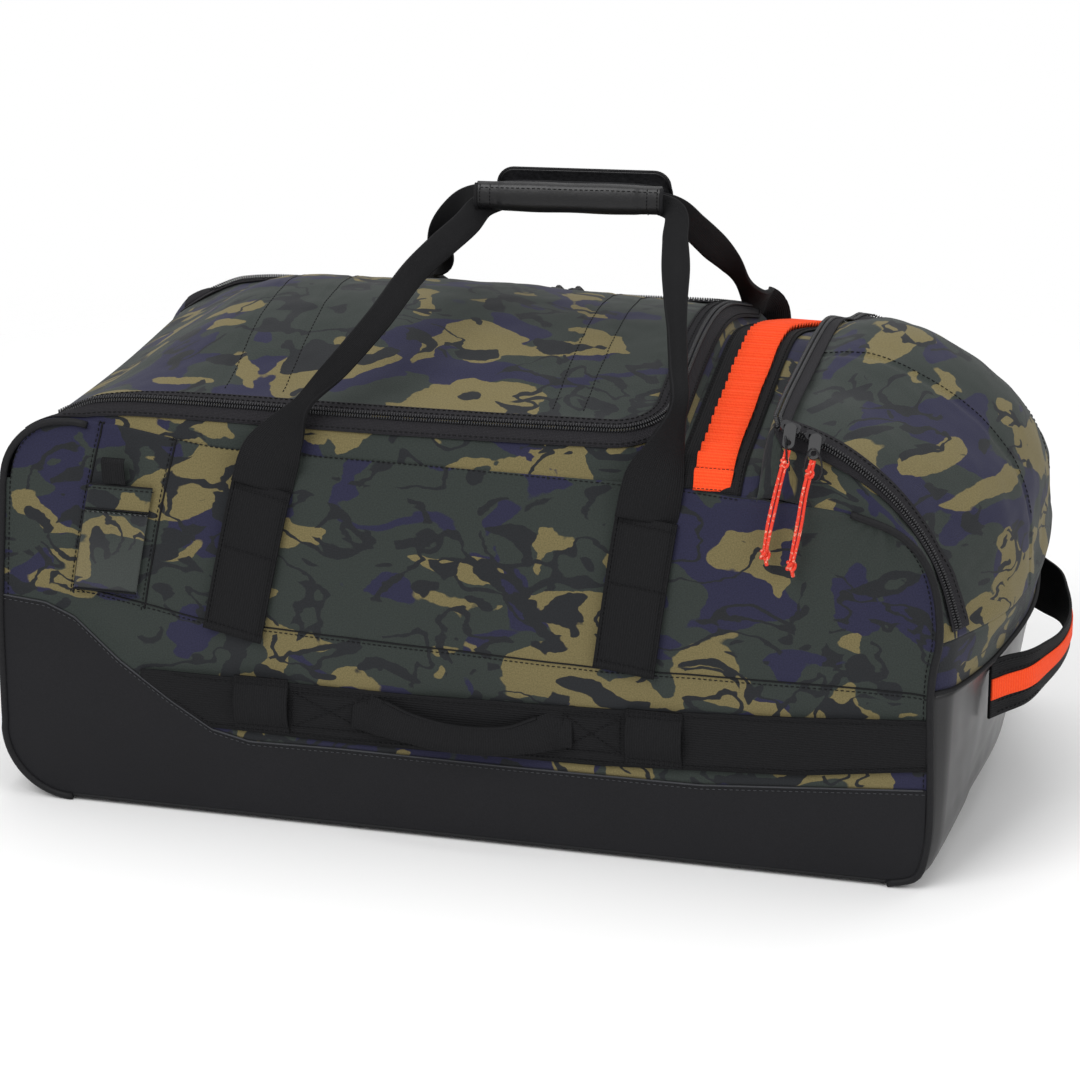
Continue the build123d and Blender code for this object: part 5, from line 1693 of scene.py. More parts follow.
# ------------------------------------------------------------------ zippers
@dataclass
class Zippers:
    """Tapes and coil teeth of both zippers, and the lid's sliders with their hanging tabs."""

    kit: Duffel
    tape: float = 14.0
    pitch: float = 2.1
    tooth: tuple[float, float, float] = (1.0, 3.0, 1.5)

    def chain(self, name: str, path: Array, up: Array, body: str) -> bpy.types.Object:
        """Two rows of coil teeth, set half a pitch apart, on both sides of a path.

        Args:
            name: the piece's name.
            path: the chain's middle line.
            up: the way up at each point.
            body: the body named with it in the log; the chain is not attached to it.

        Returns:
            The piece, not attached to a body.
        """
        even = along(path)
        at = np.arange(0, even[-1], self.pitch)
        line = np.stack([np.interp(at, even, path[:, k]) for k in range(3)], 1)
        way = np.stack([np.interp(at, even, up[:, k]) for k in range(3)], 1)
        across, off = sides_of(line, way)
        axes = np.stack([np.cross(off, across), across, off], 1)
        shape = bar_shape(*self.tooth)
        rows = [scattered(shape, line + across * (1.75 * hand) + axes[:, 0] * lag, axes)
                for hand, lag in ((-1, 0.0), (1, self.pitch / 2))]
        return build(name, rows[0] + rows[1], self.kit.finishes.teeth, body,
                     ride=False)

    def build(self) -> None:
        """Make the tapes and chains of the lid and of the end."""
        self.lid_zip()
        self.end_zip()
        for node in ("lid_slider_left", "lid_slider_right"):
            self.lid_slider(node)

    def lid_slider(self, node: str) -> None:
        """A slider on the lid's back rail, its tab hanging down behind.

        Args:
            node: the frame node that it stands for.
        """
        kit = self.kit
        low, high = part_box(node)
        x = (low.x + high.x) / 2 / MM
        z = float(kit.shape.rail(x)) + 3.2
        spine = np.array([[x - 6, 178, z], [x - 3, 178, z + 0.8], [x + 3, 178, z + 0.8], [x + 6, 178, z]])
        across, off = sides_of(spine, (0, 0.4, 1))
        body = swept(spine, across, off, strap_outline([6, 9, 9, 6], 4.6))
        hang = resampled([(x, 180, z + 2.6), (x, 185, z + 2.4), (x + 0.5, 190, z - 4),
                          (x + 1, 194.5, z - 17), (x + 1.5, 198.5, z - 32)], 2.5)
        across, off = sides_of(hang, (0, 1, 0.3))
        width = np.interp(np.linspace(0, 1, len(hang)), [0, 0.15, 0.25, 0.9, 1], [3, 3.4, 7.5, 8.5, 6.5])
        tab = swept(hang, across, off, strap_outline(width, 2.2))
        build(f"{node}_lying", body + tab, kit.finishes.slider, node, [node])

    def lid_zip(self) -> None:
        """Tape on the rim, tape on the lid, and the chain between."""
        kit, rail = self.kit, self.kit.rail
        run = np.where(rail.zipped)[0]
        part = np.linspace(0.03, 1, 6)
        share = part * np.minimum(0.86, self.tape / rail.width)[:, None]
        outer = rail.rim(share, 0.9)[run]
        distance = along(rail.path)[run]
        flat = np.stack([0 * distance[:, None] + part * self.tape, distance[:, None] + 0 * part], -1)
        body_tape = sheet_surface(outer, flat)
        inner = np.stack([rail.inner(d, 1.0)[run] for d in np.linspace(0.5, self.tape - 1, 6)], 1)
        lid = build("lid_tape", sheet_surface(inner, flat), kit.finishes.tape, "main_lid",
                    ["lid_zip_tape"], 0.9, ride=False)
        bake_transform(lid)
        self.body_tape = body_tape
        path = rail.path[run][6:-6] + rail.normal[run][6:-6] * 1.2
        chain = self.chain("lid_chain", path, rail.normal[run][6:-6], "main_lid")
        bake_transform(chain)
        for distance_in in (self.tape - 3.0, 6.0):
            line = rail.inner(distance_in, 1.4)[run][8:-8]
            kit.threads.row(line, rail.normal[run][8:-8].mean(0), "main_lid")
        edge = rail.rim(share[:, -2:-1], 1.4)[run][8:-8, 0]
        ups = rail.normal[run][8:-8]
        for part_of in np.array_split(np.arange(len(edge)), 5):
            kit.threads.row(edge[part_of], ups[part_of].mean(0))

    def end_zip(self) -> None:
        """Tapes along the arches and across the top of the flap, and their chain."""
        kit, shape = self.kit, self.kit.shape
        places = np.linspace(4.25, shape.flap_top, 120)
        tapes, outer = [], []
        for side in Side:
            y_in = np.linspace(shape.arch_y - self.tape + 1, shape.arch_y - 0.4, 6) * side.value
            grid = shape.end(places, y_in)
            tapes.append(self.laid(grid, 1.0))
            y_out = np.linspace(shape.arch_y + 0.3, shape.arch_y + 5.2, 6) * side.value
            outer.append(self.laid(shape.end(places, y_out), 1.0))
        y = np.linspace(-shape.arch_y + 8, shape.arch_y - 8, 100)
        last = shape.end([shape.flap_top - 1, shape.flap_top], 0.0)[:, 0]
        step = self.tape / np.linalg.norm(last[1] - last[0])
        across = shape.end(np.linspace(shape.flap_top - step, shape.flap_top - 0.01, 6), y)
        tapes.append(self.laid(across, 1.0))
        flap = build("flap_tape", tapes[0] + tapes[1] + tapes[2], kit.finishes.tape, "end_flap",
                     ["flap_zip_tape"], 0.9, ride=False)
        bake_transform(flap)
        build("body_tapes", self.body_tape + outer[0] + outer[1], kit.finishes.tape, "bag",
              ["rim_tapes"], 0.9)
        front = shape.end(np.linspace(4.3, shape.flap_top, 120), -shape.arch_y)[:, 0]
        top = shape.end(shape.flap_top, np.linspace(-shape.arch_y, shape.arch_y, 120)[4:-4])[0]
        back = shape.end(np.linspace(shape.flap_top, 4.3, 120), shape.arch_y)[:, 0]
        path = np.vstack([front[:-3], top, back[3:]])
        up = unit(path - np.array([240.0, 0, 150]))
        up = unit(up + np.array([0.15, 0, 0.5]))
        chain = self.chain("flap_chain", path + up * 1.4, up, "end_flap")
        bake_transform(chain)
        inner = shape.end(np.linspace(4.6, shape.flap_top - 0.3, 90), -shape.arch_y + self.tape - 4)[:, 0]
        kit.threads.row(inner + np.array([0.6, -0.4, 1.2]), (0.3, -0.5, 0.8), "end_flap")

    def laid(self, grid: Array, lift: float) -> Surface:
        """A strip of tape over a grid of cloth.

        Args:
            grid: the cloth.
            lift: height over it.

        Returns:
            The strip.
        """
        raised = grid + grid_normals(grid) * lift
        wide = measured(grid, 1)
        run = measured(grid, 0)
        return sheet_surface(raised, np.stack([wide, run], -1))


# ------------------------------------------------------------------ webbing
@dataclass
class HaulStraps:
    """The anchors sewn to the walls and the four free straps up to the grip."""

    kit: Duffel
    width: float = 48.0
    thick: float = 2.3
    feet: tuple[tuple[float, float], ...] = ((-181.0, -151.0), (131.5, 150.0))
    foot_z: float = 155.0
    sewn_z: float = 278.0

    def build(self) -> None:
        """Make anchors and straps."""
        kit = self.kit
        sets: list[Surface] = []
        for side in Side:
            for foot, top in self.feet:
                z = np.linspace(self.foot_z, self.sewn_z, 40)
                x = foot + (top - foot) * (z - self.foot_z) / 145.0
                y = kit.shape.wall_y(x, z) + 2.6 + 0.6 * np.exp(-((z - self.foot_z) / 8) ** 2)
                path = mirrored(np.column_stack([x, y, z]), side)
                across = unit(np.cross(unit(np.gradient(path, axis=0)), [0, side.value, 0]))
                off = np.cross(across, unit(np.gradient(path, axis=0)))
                sets.append(swept(path, across, off, strap_outline(self.width, self.thick)))
                self.cross_rows(path, across, side)
        whole = sets[0] + sets[1] + sets[2] + sets[3]
        build("haul_anchor_webbing", whole, kit.finishes.webbing, "bag", ["haul_anchors"])
        self.free()

    def cross_rows(self, path: Array, across: Array, side: Side) -> None:
        """Stitch rows that hold an anchor.

        Args:
            path: the anchor's middle line.
            across: unit vectors across it.
            side: the wall that it is sewn to.
        """
        for spot in (2, 22, 37):
            row = path[spot] + np.linspace(-0.46, 0.46, 12)[:, None] * self.width * across[spot]
            lifted = row + np.array([0, side.value * 1.5, 0])
            self.kit.threads.row(lifted, (0, side.value, 0), pitch=3.6, length=2.6)
        for edge in (-0.45, 0.45):
            rows = path[2:] + across[2:] * edge * self.width + np.array([0, side.value * 1.4, 0])
            self.kit.threads.row(rows, (0, side.value, 0))

    def free(self) -> None:
        """The free straps: each route holds places, the turn of the face about the route in
        degrees and the width, which folds to half towards the grip."""
        routes = {
            ("front", "left"): [
                ((-155.7, -203.5, 276), 0, 48), ((-149, -201.5, 300), 0, 47), ((-137, -198, 322), 12, 34),
                ((-122, -193, 346), 40, 17), ((-97, -184, 374), 5, 19), ((-77, -156, 400), 0, 20),
                ((-61, -94, 428), -8, 21), ((-50, -62, 439), 0, 22), ((-39, -32, 449), 5, 22),
                ((-31, -12, 459), 10, 20), ((-10, -6, 466), 0, 16)],
            ("front", "right"): [
                ((147, -203.5, 276), 0, 48), ((152, -201.5, 306), 0, 46), ((160, -196, 334), -20, 30),
                ((167, -186, 363), -30, 15), ((160, -158, 384), -20, 15), ((153, -132, 402), -10, 15),
                ((146, -106, 418), 0, 18), ((138, -72, 438), 0, 22), ((132, -48, 452), 0, 20),
                ((124, -18, 466), 0, 18), ((96, -6, 471), 0, 16)],
            ("back", "left"): [
                ((-156, 203.5, 276), 0, 48), ((-148, 201, 306), 0, 46), ((-133, 186, 346), 0, 34),
                ((-118, 155, 360), 0, 26), ((-105, 122, 374), 10, 22), ((-99, 98, 392), 0, 21),
                ((-89, 72, 415), -10, 21), ((-72, 48, 436), -10, 22), ((-56, 28, 451), 0, 21),
                ((-38, 10, 461), 0, 19), ((-12, 5, 467), 0, 16)],
            ("back", "right"): [
                ((147, 203.5, 276), 0, 48), ((153, 201, 304), 0, 46), ((157, 188, 328), 0, 42),
                ((158, 168, 339), 0, 36), ((157, 140, 355), 30, 22), ((153, 108, 378), 50, 14),
                ((148, 82, 400), 15, 19), ((139, 56, 421), 0, 24), ((129, 34, 440), 0, 23),
                ((117, 12, 460), 0, 20), ((96, 6, 468), 0, 16)],
        }
        facing = unit(np.array([0.25, -0.9, 0.35]))
        for (side, hand), stops in routes.items():
            points = np.array([stop[0] for stop in stops], float)
            knots = along(points)
            at = np.linspace(0, knots[-1], 110)
            path = spline(knots, points, at)
            turn = np.radians(spline(knots, np.array([stop[1] for stop in stops], float), at))[:, None]
            width = spline(knots, np.array([stop[2] for stop in stops], float), at, tight=True)
            tangent = unit(np.gradient(path, axis=0))
            flat = unit(np.cross(tangent, facing))
            across = flat * np.cos(turn) + np.cross(flat, tangent) * np.sin(turn)
            off = np.cross(across, tangent)
            folded = 2.3 + 2.2 * smooth((36 - width) / 12)
            surface = swept(path, across, off, strap_outline(width, folded))
            piece = build(f"{side}_{hand}_haul_strap", surface, self.kit.finishes.webbing, "bag",
                          ride=False)
            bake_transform(piece)
            if hand == "left":
                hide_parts(f"{side}_haul_strap")


def inflate(piece: bpy.types.Object, voxel: float, pressure: float, cap: float) -> None:
    """Swell a closed piece with a short cloth simulation and keep the result.

    Args:
        piece: the piece, a closed mesh.
        voxel: size of the cells that it is remeshed with, in metres.
        pressure: the cloth's inner pressure.
        cap: the furthest that a point may move, in metres.
    """
    scene = bpy.context.scene
    fine = piece.modifiers.new("remesh", "REMESH")
    fine.mode = "VOXEL"
    fine.voxel_size = voxel
    fine.use_smooth_shade = True
    graph = bpy.context.evaluated_depsgraph_get()
    start = bpy.data.meshes.new_from_object(piece.evaluated_get(graph))
    piece.modifiers.clear()
    finishes = list(piece.data.materials)
    piece.data = start
    piece.data.materials.clear()
    for finish in finishes:
        piece.data.materials.append(finish)
    count = len(start.vertices)
    before = np.zeros(count * 3, np.float32)
    start.vertices.foreach_get("co", before)
    cloth = piece.modifiers.new("cloth", "CLOTH")
    cloth.settings.use_pressure = True
    cloth.settings.uniform_pressure_force = pressure
    cloth.settings.quality = 5
    cloth.settings.mass = 0.15
    cloth.settings.tension_stiffness = 25
    cloth.settings.effector_weights.gravity = 0
    cloth.collision_settings.use_collision = False
    for step in range(1, 21):
        scene.frame_set(step)
    graph = bpy.context.evaluated_depsgraph_get()
    swollen = bpy.data.meshes.new_from_object(piece.evaluated_get(graph))
    after = np.zeros(count * 3, np.float32)
    swollen.vertices.foreach_get("co", after)
    piece.modifiers.clear()
    scene.frame_set(1)
    move = (after - before).reshape(-1, 3)
    reach = np.linalg.norm(move, axis=1, keepdims=True)
    move *= np.minimum(1.0, cap / np.maximum(reach, 1e-9))
    start.vertices.foreach_set("co", (before.reshape(-1, 3) + move).ravel())
    start.polygons.foreach_set("use_smooth", np.ones(len(start.polygons), bool))
    start.update()


@dataclass
class CarryWrap:
    """The padded grip: a filled core, a leatherette cover around its front and foot, and a
    rounded closing flap behind."""

    kit: Duffel
    left: float = -34.0
    right: float = 114.0
    rise: float = 5.0
    low: float = 456.5
    high: float = 479.5
    depth: float = 21.0

    def lift(self, x: Array) -> Array:
        """The grip climbs a little towards the right."""
        return self.rise * (x - self.left) / (self.right - self.left)

    def build(self) -> None:
        """Make the grip's pieces."""
        self.core()
        self.cover()
        self.flap()

    def core(self) -> None:
        """The filling, a rounded bar swollen by a cloth simulation."""
        x = np.linspace(self.left + 3, self.right - 3, 60)
        middle = (self.low + self.high) / 2
        path = np.column_stack([x, 0 * x, middle - 0.5 + self.lift(x)])
        ends = np.sqrt(np.maximum(1 - np.clip(np.abs(x - x.mean()) / (x[-1] - x.mean()), 0, 1) ** 8, 0.05))
        angle = np.linspace(0, 2 * np.pi, 40, endpoint=False)
        ring = np.stack([np.sign(np.cos(angle)) * np.abs(np.cos(angle)) ** 0.6 * (self.depth - 6),
                         np.sign(np.sin(angle)) * np.abs(np.sin(angle)) ** 0.6 * 8.0], -1)
        across = same([0.0, 1.0, 0], path)
        up = same([0.0, 0, 1.0], path)
        surface = swept(path, across, up, ring * ends[:, None, None])
        core = build("grip_core", surface, self.kit.finishes.fuzzy, "front_haul")
        inflate(core, 0.0028, 4.0, 0.0035)

    def cover(self) -> None:
        """Leatherette bent from the top of the front, down and under to the back."""
        kit = self.kit
        d, low, high = self.depth, self.low, self.high
        bend = np.array([(-d + 4.5, high + 0.4), (-d + 1.2, high - 1.6), (-d - 0.6, high - 6),
                         (-d - 1.3, 468), (-d - 0.4, low + 5), (-d + 4, low + 0.6),
                         (-d + 11, low - 0.6), (0, low - 0.9), (d - 9, low - 0.4),
                         (d - 3, low + 1.4), (d - 0.6, low + 6)])
        line = resampled(bend, 1.6)
        x = np.concatenate([[self.left - 0.5], np.linspace(self.left, self.right, 110), [self.right + 0.5]])
        grid = np.stack(np.broadcast_arrays(x[:, None], line[:, 0], line[:, 1] + self.lift(x)[:, None]), -1)
        grid = grid.copy()
        puff = 1.2 * smooth(np.minimum(x - self.left - 12, self.right - 12 - x) / 10)
        hub = np.array([0, 0, 468.0])
        rays = unit((grid - hub) * (0, 1, 1))
        grid += rays * (puff[:, None] + 0.35 * np.sin(x / 9.0)[:, None] * (puff[:, None] > 0.3))[..., None]
        flat = np.stack(np.broadcast_arrays(x[:, None], along(line)), -1)
        surface = sheet_surface(grid, flat, away=np.array([40.0, 0, 468.0]))
        piece = build("grip_cover", surface, kit.finishes.leather, "front_haul",
                      ["carry_wrap"], 2.0)
        edge = piece.modifiers.new("edge", "BEVEL")
        edge.width, edge.segments = 0.0007, 2
        for spot in (self.left + 3, self.left + 11, self.right - 11, self.right - 3):
            near = int(np.argmin(np.abs(x - spot)))
            kit.threads.row(grid[near, 3:18], (0, -1, 0.2), "front_haul", pitch=3.0, length=2.2)
        kit.threads.row(grid[4:-4, 4], (0, -0.7, 0.7), "front_haul")
        for end, sign in ((self.left - 0.6, -1), (self.right + 0.6, 1)):
            loop = resampled(bend, 1.6)[2:]
            path = np.column_stack([np.full(len(loop), end), loop[:, 0], loop[:, 1] + self.lift(end)])
            build(f"grip_binding_{'left' if sign < 0 else 'right'}", tube(path, 1.5, (1, 0, 0), 8),
                  kit.finishes.piping, "front_haul")

    def flap(self) -> None:
        """The rear flap: upright with rounded upper corners, and bound along its edge."""
        kit = self.kit
        left, right = self.left + 7, self.right - 1
        x = np.linspace(left, right, 90)
        side = np.minimum(x - left, right - x)
        corner = 13 - np.sqrt(np.maximum(13 ** 2 - np.clip(13 - side, 0, 13) ** 2, 0))
        v = np.linspace(0, 1, 22)
        top = self.high + 2.6 - corner
        z = (self.low + 2) + (top[:, None] - self.low - 2) * v + self.lift(x)[:, None]
        y = self.depth + 0.6 + 1.2 * np.sin(np.pi * v) + 0 * z - 3.4 * v ** 3
        grid = np.stack([x[:, None] + 0 * z, y, z], -1)
        piece = build("grip_flap", sheet_surface(grid, grid[..., [0, 2]], away=np.array([40.0, 0, 468])),
                      kit.finishes.leather, "wrap_flap", ["wrap_flap"], 1.8,
                      kit.finishes.fuzzy)
        rim = np.vstack([grid[0, ::4], grid[1:-1, -1], grid[-1, ::-4]])
        build("grip_flap_binding", tube(resampled(rim, 2.5), 1.3, (0, 1, 0), 8), kit.finishes.piping,
              "wrap_flap")


@dataclass
class Handles:
    """The side handles on the lash bands and the grab handle on the end."""

    kit: Duffel

    def build(self) -> None:
        """Make the three handles."""
        for side in Side:
            self.side_handle(side)
        self.end_handle()

    def side_handle(self, side: Side) -> None:
        """A drooping folded strap between two sewn ends.

        Args:
            side: the wall that it hangs on.
        """
        kit, half = self.kit, self.kit.shape.half
        route = np.array([(-84, 2.8, 101, 25), (-71, 3.6, 101, 29), (-60, 7.5, 100, 28),
                          (-40, 10.5, 96, 24), (-8, 12.0, 91, 22), (20, 12.0, 90.5, 22),
                          (48, 10.8, 94, 23), (66, 8.0, 99, 27), (78, 3.6, 102, 29),
                          (92, 2.8, 103, 26)], float)
        knots = along(route[:, [0, 2]])
        line = spline(knots, route, np.linspace(0, knots[-1], 90))
        path = mirrored(np.column_stack([line[:, 0], half + line[:, 1], line[:, 2]]), side)
        tangent = unit(np.gradient(path, axis=0))
        out = np.array([0.0, side.value, 0.25])
        across = unit(np.cross(tangent, out))
        off = np.cross(across, tangent)
        thick = 2.2 + 1.8 * smooth(1 - np.abs(line[:, 0] - 6) / 62)
        surface = swept(path, across, off, strap_outline(line[:, 3], thick))
        build(f"{side.word}_drooping_handle", surface, kit.finishes.cross, f"{side.word}_side_handle",
              [f"{side.word}_side_handle"])
        roll = path + across * (line[:, 3:4] * 0.5 - 0.8) * (1 if across[0, 2] > 0 else -1)
        build(f"{side.word}_drooping_handle_fold", tube(roll[12:-12], 1.9, (0, 1, 0), 8),
              kit.finishes.webbing, f"{side.word}_side_handle")

    def end_handle(self) -> None:
        """A bow of black webbing with an orange stripe, folded narrower in the middle."""
        kit = self.kit
        half = [(399, -126, 136, 48), (409, -112, 136.5, 47), (422, -95, 136.5, 44),
                (433, -62, 137, 36), (440, -30, 137, 30)]
        other = [(x, -y, z, width) for x, y, z, width in half[::-1]]
        route = np.array(half + [(442, 0, 137.5, 28)] + other, float)
        knots = along(route[:, :2])
        line = spline(knots, route, np.linspace(0, knots[-1], 110))
        path = line[:, :3]
        tangent = unit(np.gradient(path, axis=0))
        across = same([0.0, 0, 1.0], path)
        off = unit(np.cross(tangent, across))
        off *= np.sign(off[:, :1] + 1e-9)
        webbing = swept(path, across, off, strap_outline(line[:, 3], 2.6))
        build("end_handle_webbing", webbing, kit.finishes.webbing, "bag",
              ["end_grab_handle"])
        stripe = swept(path + off * 1.9, across, off, strap_outline(np.minimum(line[:, 3] * 0.42, 17), 1.2))
        build("end_handle_stripe", stripe, kit.finishes.orange, "bag",
              ["orange_webbing"])
        for edge in (-0.43, -0.24, 0.24, 0.43):
            rows = path[4:-4] + across[4:-4] * line[4:-4, 3:4] * edge + off[4:-4] * 1.5
            kit.threads.row(rows[:20], (1, -0.5, 0))
            kit.threads.row(rows[-20:], (1, 0.5, 0))


@dataclass
class IdPocket:
    """The address pocket on the front wall: flap strip, window, card and pull tab."""

    kit: Duffel

    def leaning(self, low: float, high: float, left: float, right: float, lift: float,
                puff: float) -> Array:
        """A grid between two heights that leans with the pocket's seams.

        Args:
            low: lower height.
            high: upper height.
            left: left edge at the pocket's foot.
            right: right edge there.
            lift: height over the wall.
            puff: how far the middle stands out.

        Returns:
            The grid.
        """
        z = np.linspace(low, high, 26)[:, None]
        u = np.linspace(0, 1, 26)
        x = left + (right - left) * u + 0.176 * (z - 178)
        bulge = puff * np.sin(np.pi * u) * np.sin(np.pi * (z - low) / (high - low))
        y = self.kit.shape.wall_y(x, z) + lift + bulge
        return mirrored(np.stack([x, y, z + 0 * x], -1), Side.FRONT)

    def build(self) -> None:
        """Make the pocket's pieces."""
        kit = self.kit
        window = self.leaning(181, 247, -312, -260, 1.6, 1.4)
        build("pocket_window", sheet_surface(window, window[..., [0, 2]] + (150, 90)),
              kit.finishes.window, "bag", ["id_pocket"], 1.0)
        strip = self.leaning(249, 268, -312, -260, 2.4, 0.6)
        build("pocket_flap_strip", sheet_surface(strip, strip[..., [0, 2]] + (333, 0)),
              kit.finishes.camo, "bag", (), 1.2)
        for z, lift in ((248.6, 2.6), (268, 2.6), (181.5, 2.2)):
            edge = self.leaning(z, z + 0.5, -312, -260, lift, 0.0)[0]
            build(f"pocket_edge_{int(z)}", tube(edge, 0.7, (0, 1, 0), 6), kit.finishes.thread, "bag")
            kit.threads.row(edge + (0, -0.4, -2.4 if z < 260 else -2.8), (0, -1, 0))
        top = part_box("id_card")[1].z / MM
        drop = np.array([21, 15, 8, 2, 0])
        y = -1.8 - np.array([203.9, 205.2, 206.3, 206.4, 204.0])
        path = resampled(np.column_stack([np.full(5, -274.5), y, top - drop]), 1.6)
        across = same([1.0, 0, 0], path)
        off = same([0.0, -1, 0], path)
        build("card_pull_tab", swept(path, across, off, strap_outline(18.5, 1.6)), kit.finishes.webbing,
              "id_card")
        card = self.leaning(190, 243, -307, -265, 0.4, 0.0)
        build("address_card_sheet", sheet_surface(card, card[..., [0, 2]]), kit.finishes.card, "id_card",
              ["id_card"], 0.4)


@dataclass
class PullCords:
    """The two doubled cords on the end zipper's pulls, with their knots and rings."""

    kit: Duffel
    strand: float = 1.25
    routes: dict[str, tuple[tuple[float, float, float], ...]] = field(default_factory=lambda: {
        "upper": ((254.763, -210.596, 343.605), (252.5, -213, 332), (249, -214.5, 316),
                  (245.5, -214.5, 298), (242, -214, 280), (240, -213.5, 264)),
        "lower": ((273.707, -210.596, 337.082), (271, -213, 325), (268, -214.5, 309),
                  (266, -215, 291), (263, -214.5, 273), (260, -213.5, 257)),
    })

    def line(self, name: str) -> Array:
        """Points read from the cord's smooth curve, in millimetres.

        Args:
            name: upper or lower.

        Returns:
            The points.
        """
        curve = bpy.data.curves.new(f"{name}_route", "CURVE")
        curve.dimensions = "3D"
        spline_line = curve.splines.new("NURBS")
        spline_line.points.add(len(self.routes[name]) - 1)
        for point, place in zip(spline_line.points, self.routes[name]):
            point.co = (*(c * MM for c in place), 1.0)
        spline_line.order_u = 3
        spline_line.use_endpoint_u = True
        spline_line.resolution_u = 16
        holder = bpy.data.objects.new(f"{name}_route", curve)
        mesh = bpy.data.meshes.new_from_object(holder)
        points = np.array([v.co for v in mesh.vertices], float) / MM
        bpy.data.meshes.remove(mesh)
        bpy.data.objects.remove(holder)
        return points

    def build(self) -> None:
        """Make both pulls."""
        for name in self.routes:
            self.one(name)

    def one(self, name: str) -> None:
        """One cord: two strands that wind about its line, and a knot at each end.

        Args:
            name: upper or lower.
        """
        finishes, body = self.kit.finishes, f"{name}_pull"
        line = resampled(self.line(name), 1.5)
        across, off = sides_of(line, (0, -1, 0))
        turn = 0.5 * np.sin(np.linspace(0, 4.5, len(line)))[:, None] + 0.15
        gap = 1.15 + 0.5 * np.sin(np.pi * np.linspace(0, 1, len(line)))[:, None]
        swing = across * np.cos(turn) + off * np.sin(turn)
        strands = [swept(line + swing * gap * hand, across, off, circle(self.strand, 9))
                   for hand in (-1, 1)]
        cord = build(f"{name}_pull_cord", strands[0] + strands[1], finishes.cord, body,
                     [f"{name}_cord"])
        knots = self.knot(line[-1] + (line[-1] - line[-3]) * 0.9, 3.3) + self.knot(line[7], 2.7)
        tail = np.array([line[-1], line[-1] + (0.5, 0, -6), line[-1] + (1.4, 0.3, -11)])
        knots = knots + tube(resampled(tail, 1.2), 1.5, (0, 1, 0), 8)
        knot = build(f"{name}_cord_knots", knots, finishes.cord, body)
        self.ring(name, line)

    def knot(self, centre: Array, radius: float) -> Surface:
        """An overhand knot: a tube along a trefoil, whose radius is two plus the cosine of
        three times the angle and whose height is the sine of it.

        Args:
            centre: its middle.
            radius: half its size.

        Returns:
            The knot.
        """
        t = np.linspace(0, 2 * np.pi, 64)
        wide = radius * (2 + np.cos(3 * t)) / 3
        path = centre + np.column_stack([wide * np.cos(2 * t), 0.9 * wide * np.sin(2 * t),
                                         0.85 * radius * np.sin(3 * t)])
        return tube(path, self.strand * 1.02, (0.3, 0.9, 0.2), 8)

    def ring(self, name: str, line: Array) -> None:
        """A slim wire ring through the tab.

        Args:
            name: upper or lower.
            line: the cord's middle line.
        """
        finishes, body = self.kit.finishes, f"{name}_pull"
        t = np.linspace(0, 2 * np.pi, 60)
        centre = line[0] + np.array([0.5, 0.4, -3.0])
        shape = np.column_stack([6.2 * np.cos(t) * (1 - 0.18 * np.sin(t)), -1.2 - 2.0 * np.sin(t),
                                 13 * np.sin(t)])
        if name == "upper":
            shape[:, [0, 1]] = shape[:, [1, 0]] * (0.8, -0.45)
        build(f"{name}_pull_ring", tube(centre + shape, 0.75, (0.1, 1, 0.1), 8), finishes.slider, body)


@dataclass
class HardParts:
    """Frame nodes that keep their shape and get their finish."""

    kit: Duffel

    def build(self) -> None:
        """Dress every hard node."""
        f = self.kit.finishes
        wanted = {
            f.plastic: ("base_board", "runners", "wheel_housings", "tube_clamps", "handle_cup",
                        "stage_collars", "upper_pull", "lower_pull"),
            f.aluminium: ("outer_tubes", "middle_tubes", "inner_tubes"),
            f.steel: ("base_fasteners", "axles", "front_bearings", "back_bearings", "release_rods",
                      "lock_pins"),
            f.grip: ("pull_grip",), f.button: ("release_button",), f.rubber: ("front_tyre", "back_tyre"),
            f.hub: ("front_hub", "back_hub"),
            f.slider: ("upper_slider", "lower_slider"),
        }
        for finish, names in wanted.items():
            for name in names:
                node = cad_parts[name]
                node.data.materials.clear()
                node.data.materials.append(finish)
                LOG.info("%s: dressed in %s", name, finish.name)


@dataclass
class Lining:
    """The cloth inside: the liner on the floor and the wall between the compartments."""

    kit: Duffel

    def build(self) -> None:
        """Make both sheets: flat ones whose soft creases are sums of sines."""
        lining = self.kit.finishes.lining
        low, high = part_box("floor_liner")
        x = np.linspace(low.x, high.x, 100) / MM
        y = np.linspace(low.y, high.y, 70)[:, None] / MM
        grid = np.stack([x + 0 * y, y + 0 * x, 0 * x + 0 * y + high.z / MM], -1)
        grid[..., 2] -= Creases(151, 1.0, 130).depth(grid)
        below = np.array([0.0, 0, -500])
        build("liner_cloth", sheet_surface(grid, grid[..., :2], away=below), lining, "bag",
              ["floor_liner"], 0.6)
        low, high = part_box("divider_panel")
        z = np.linspace(low.z + 0.0004, high.z, 50)[:, None] / MM
        y = np.linspace(low.y, high.y, 70) / MM
        grid = np.stack([0 * y + 0 * z + high.x / MM, y + 0 * z, z + 0 * y], -1)
        grid[..., 0] -= Creases(152, 2.6, 150).depth(grid)
        build("divider_cloth", sheet_surface(grid, grid[..., 1:]), lining, "bag",
              ["divider_panel"], 1.0)
        hem = tube(resampled(grid[-1] + np.array([-0.5, 0, -1.2]), 6), 1.6, (1, 0, 0), 8)
        build("divider_hem", hem, self.kit.finishes.piping, "bag")


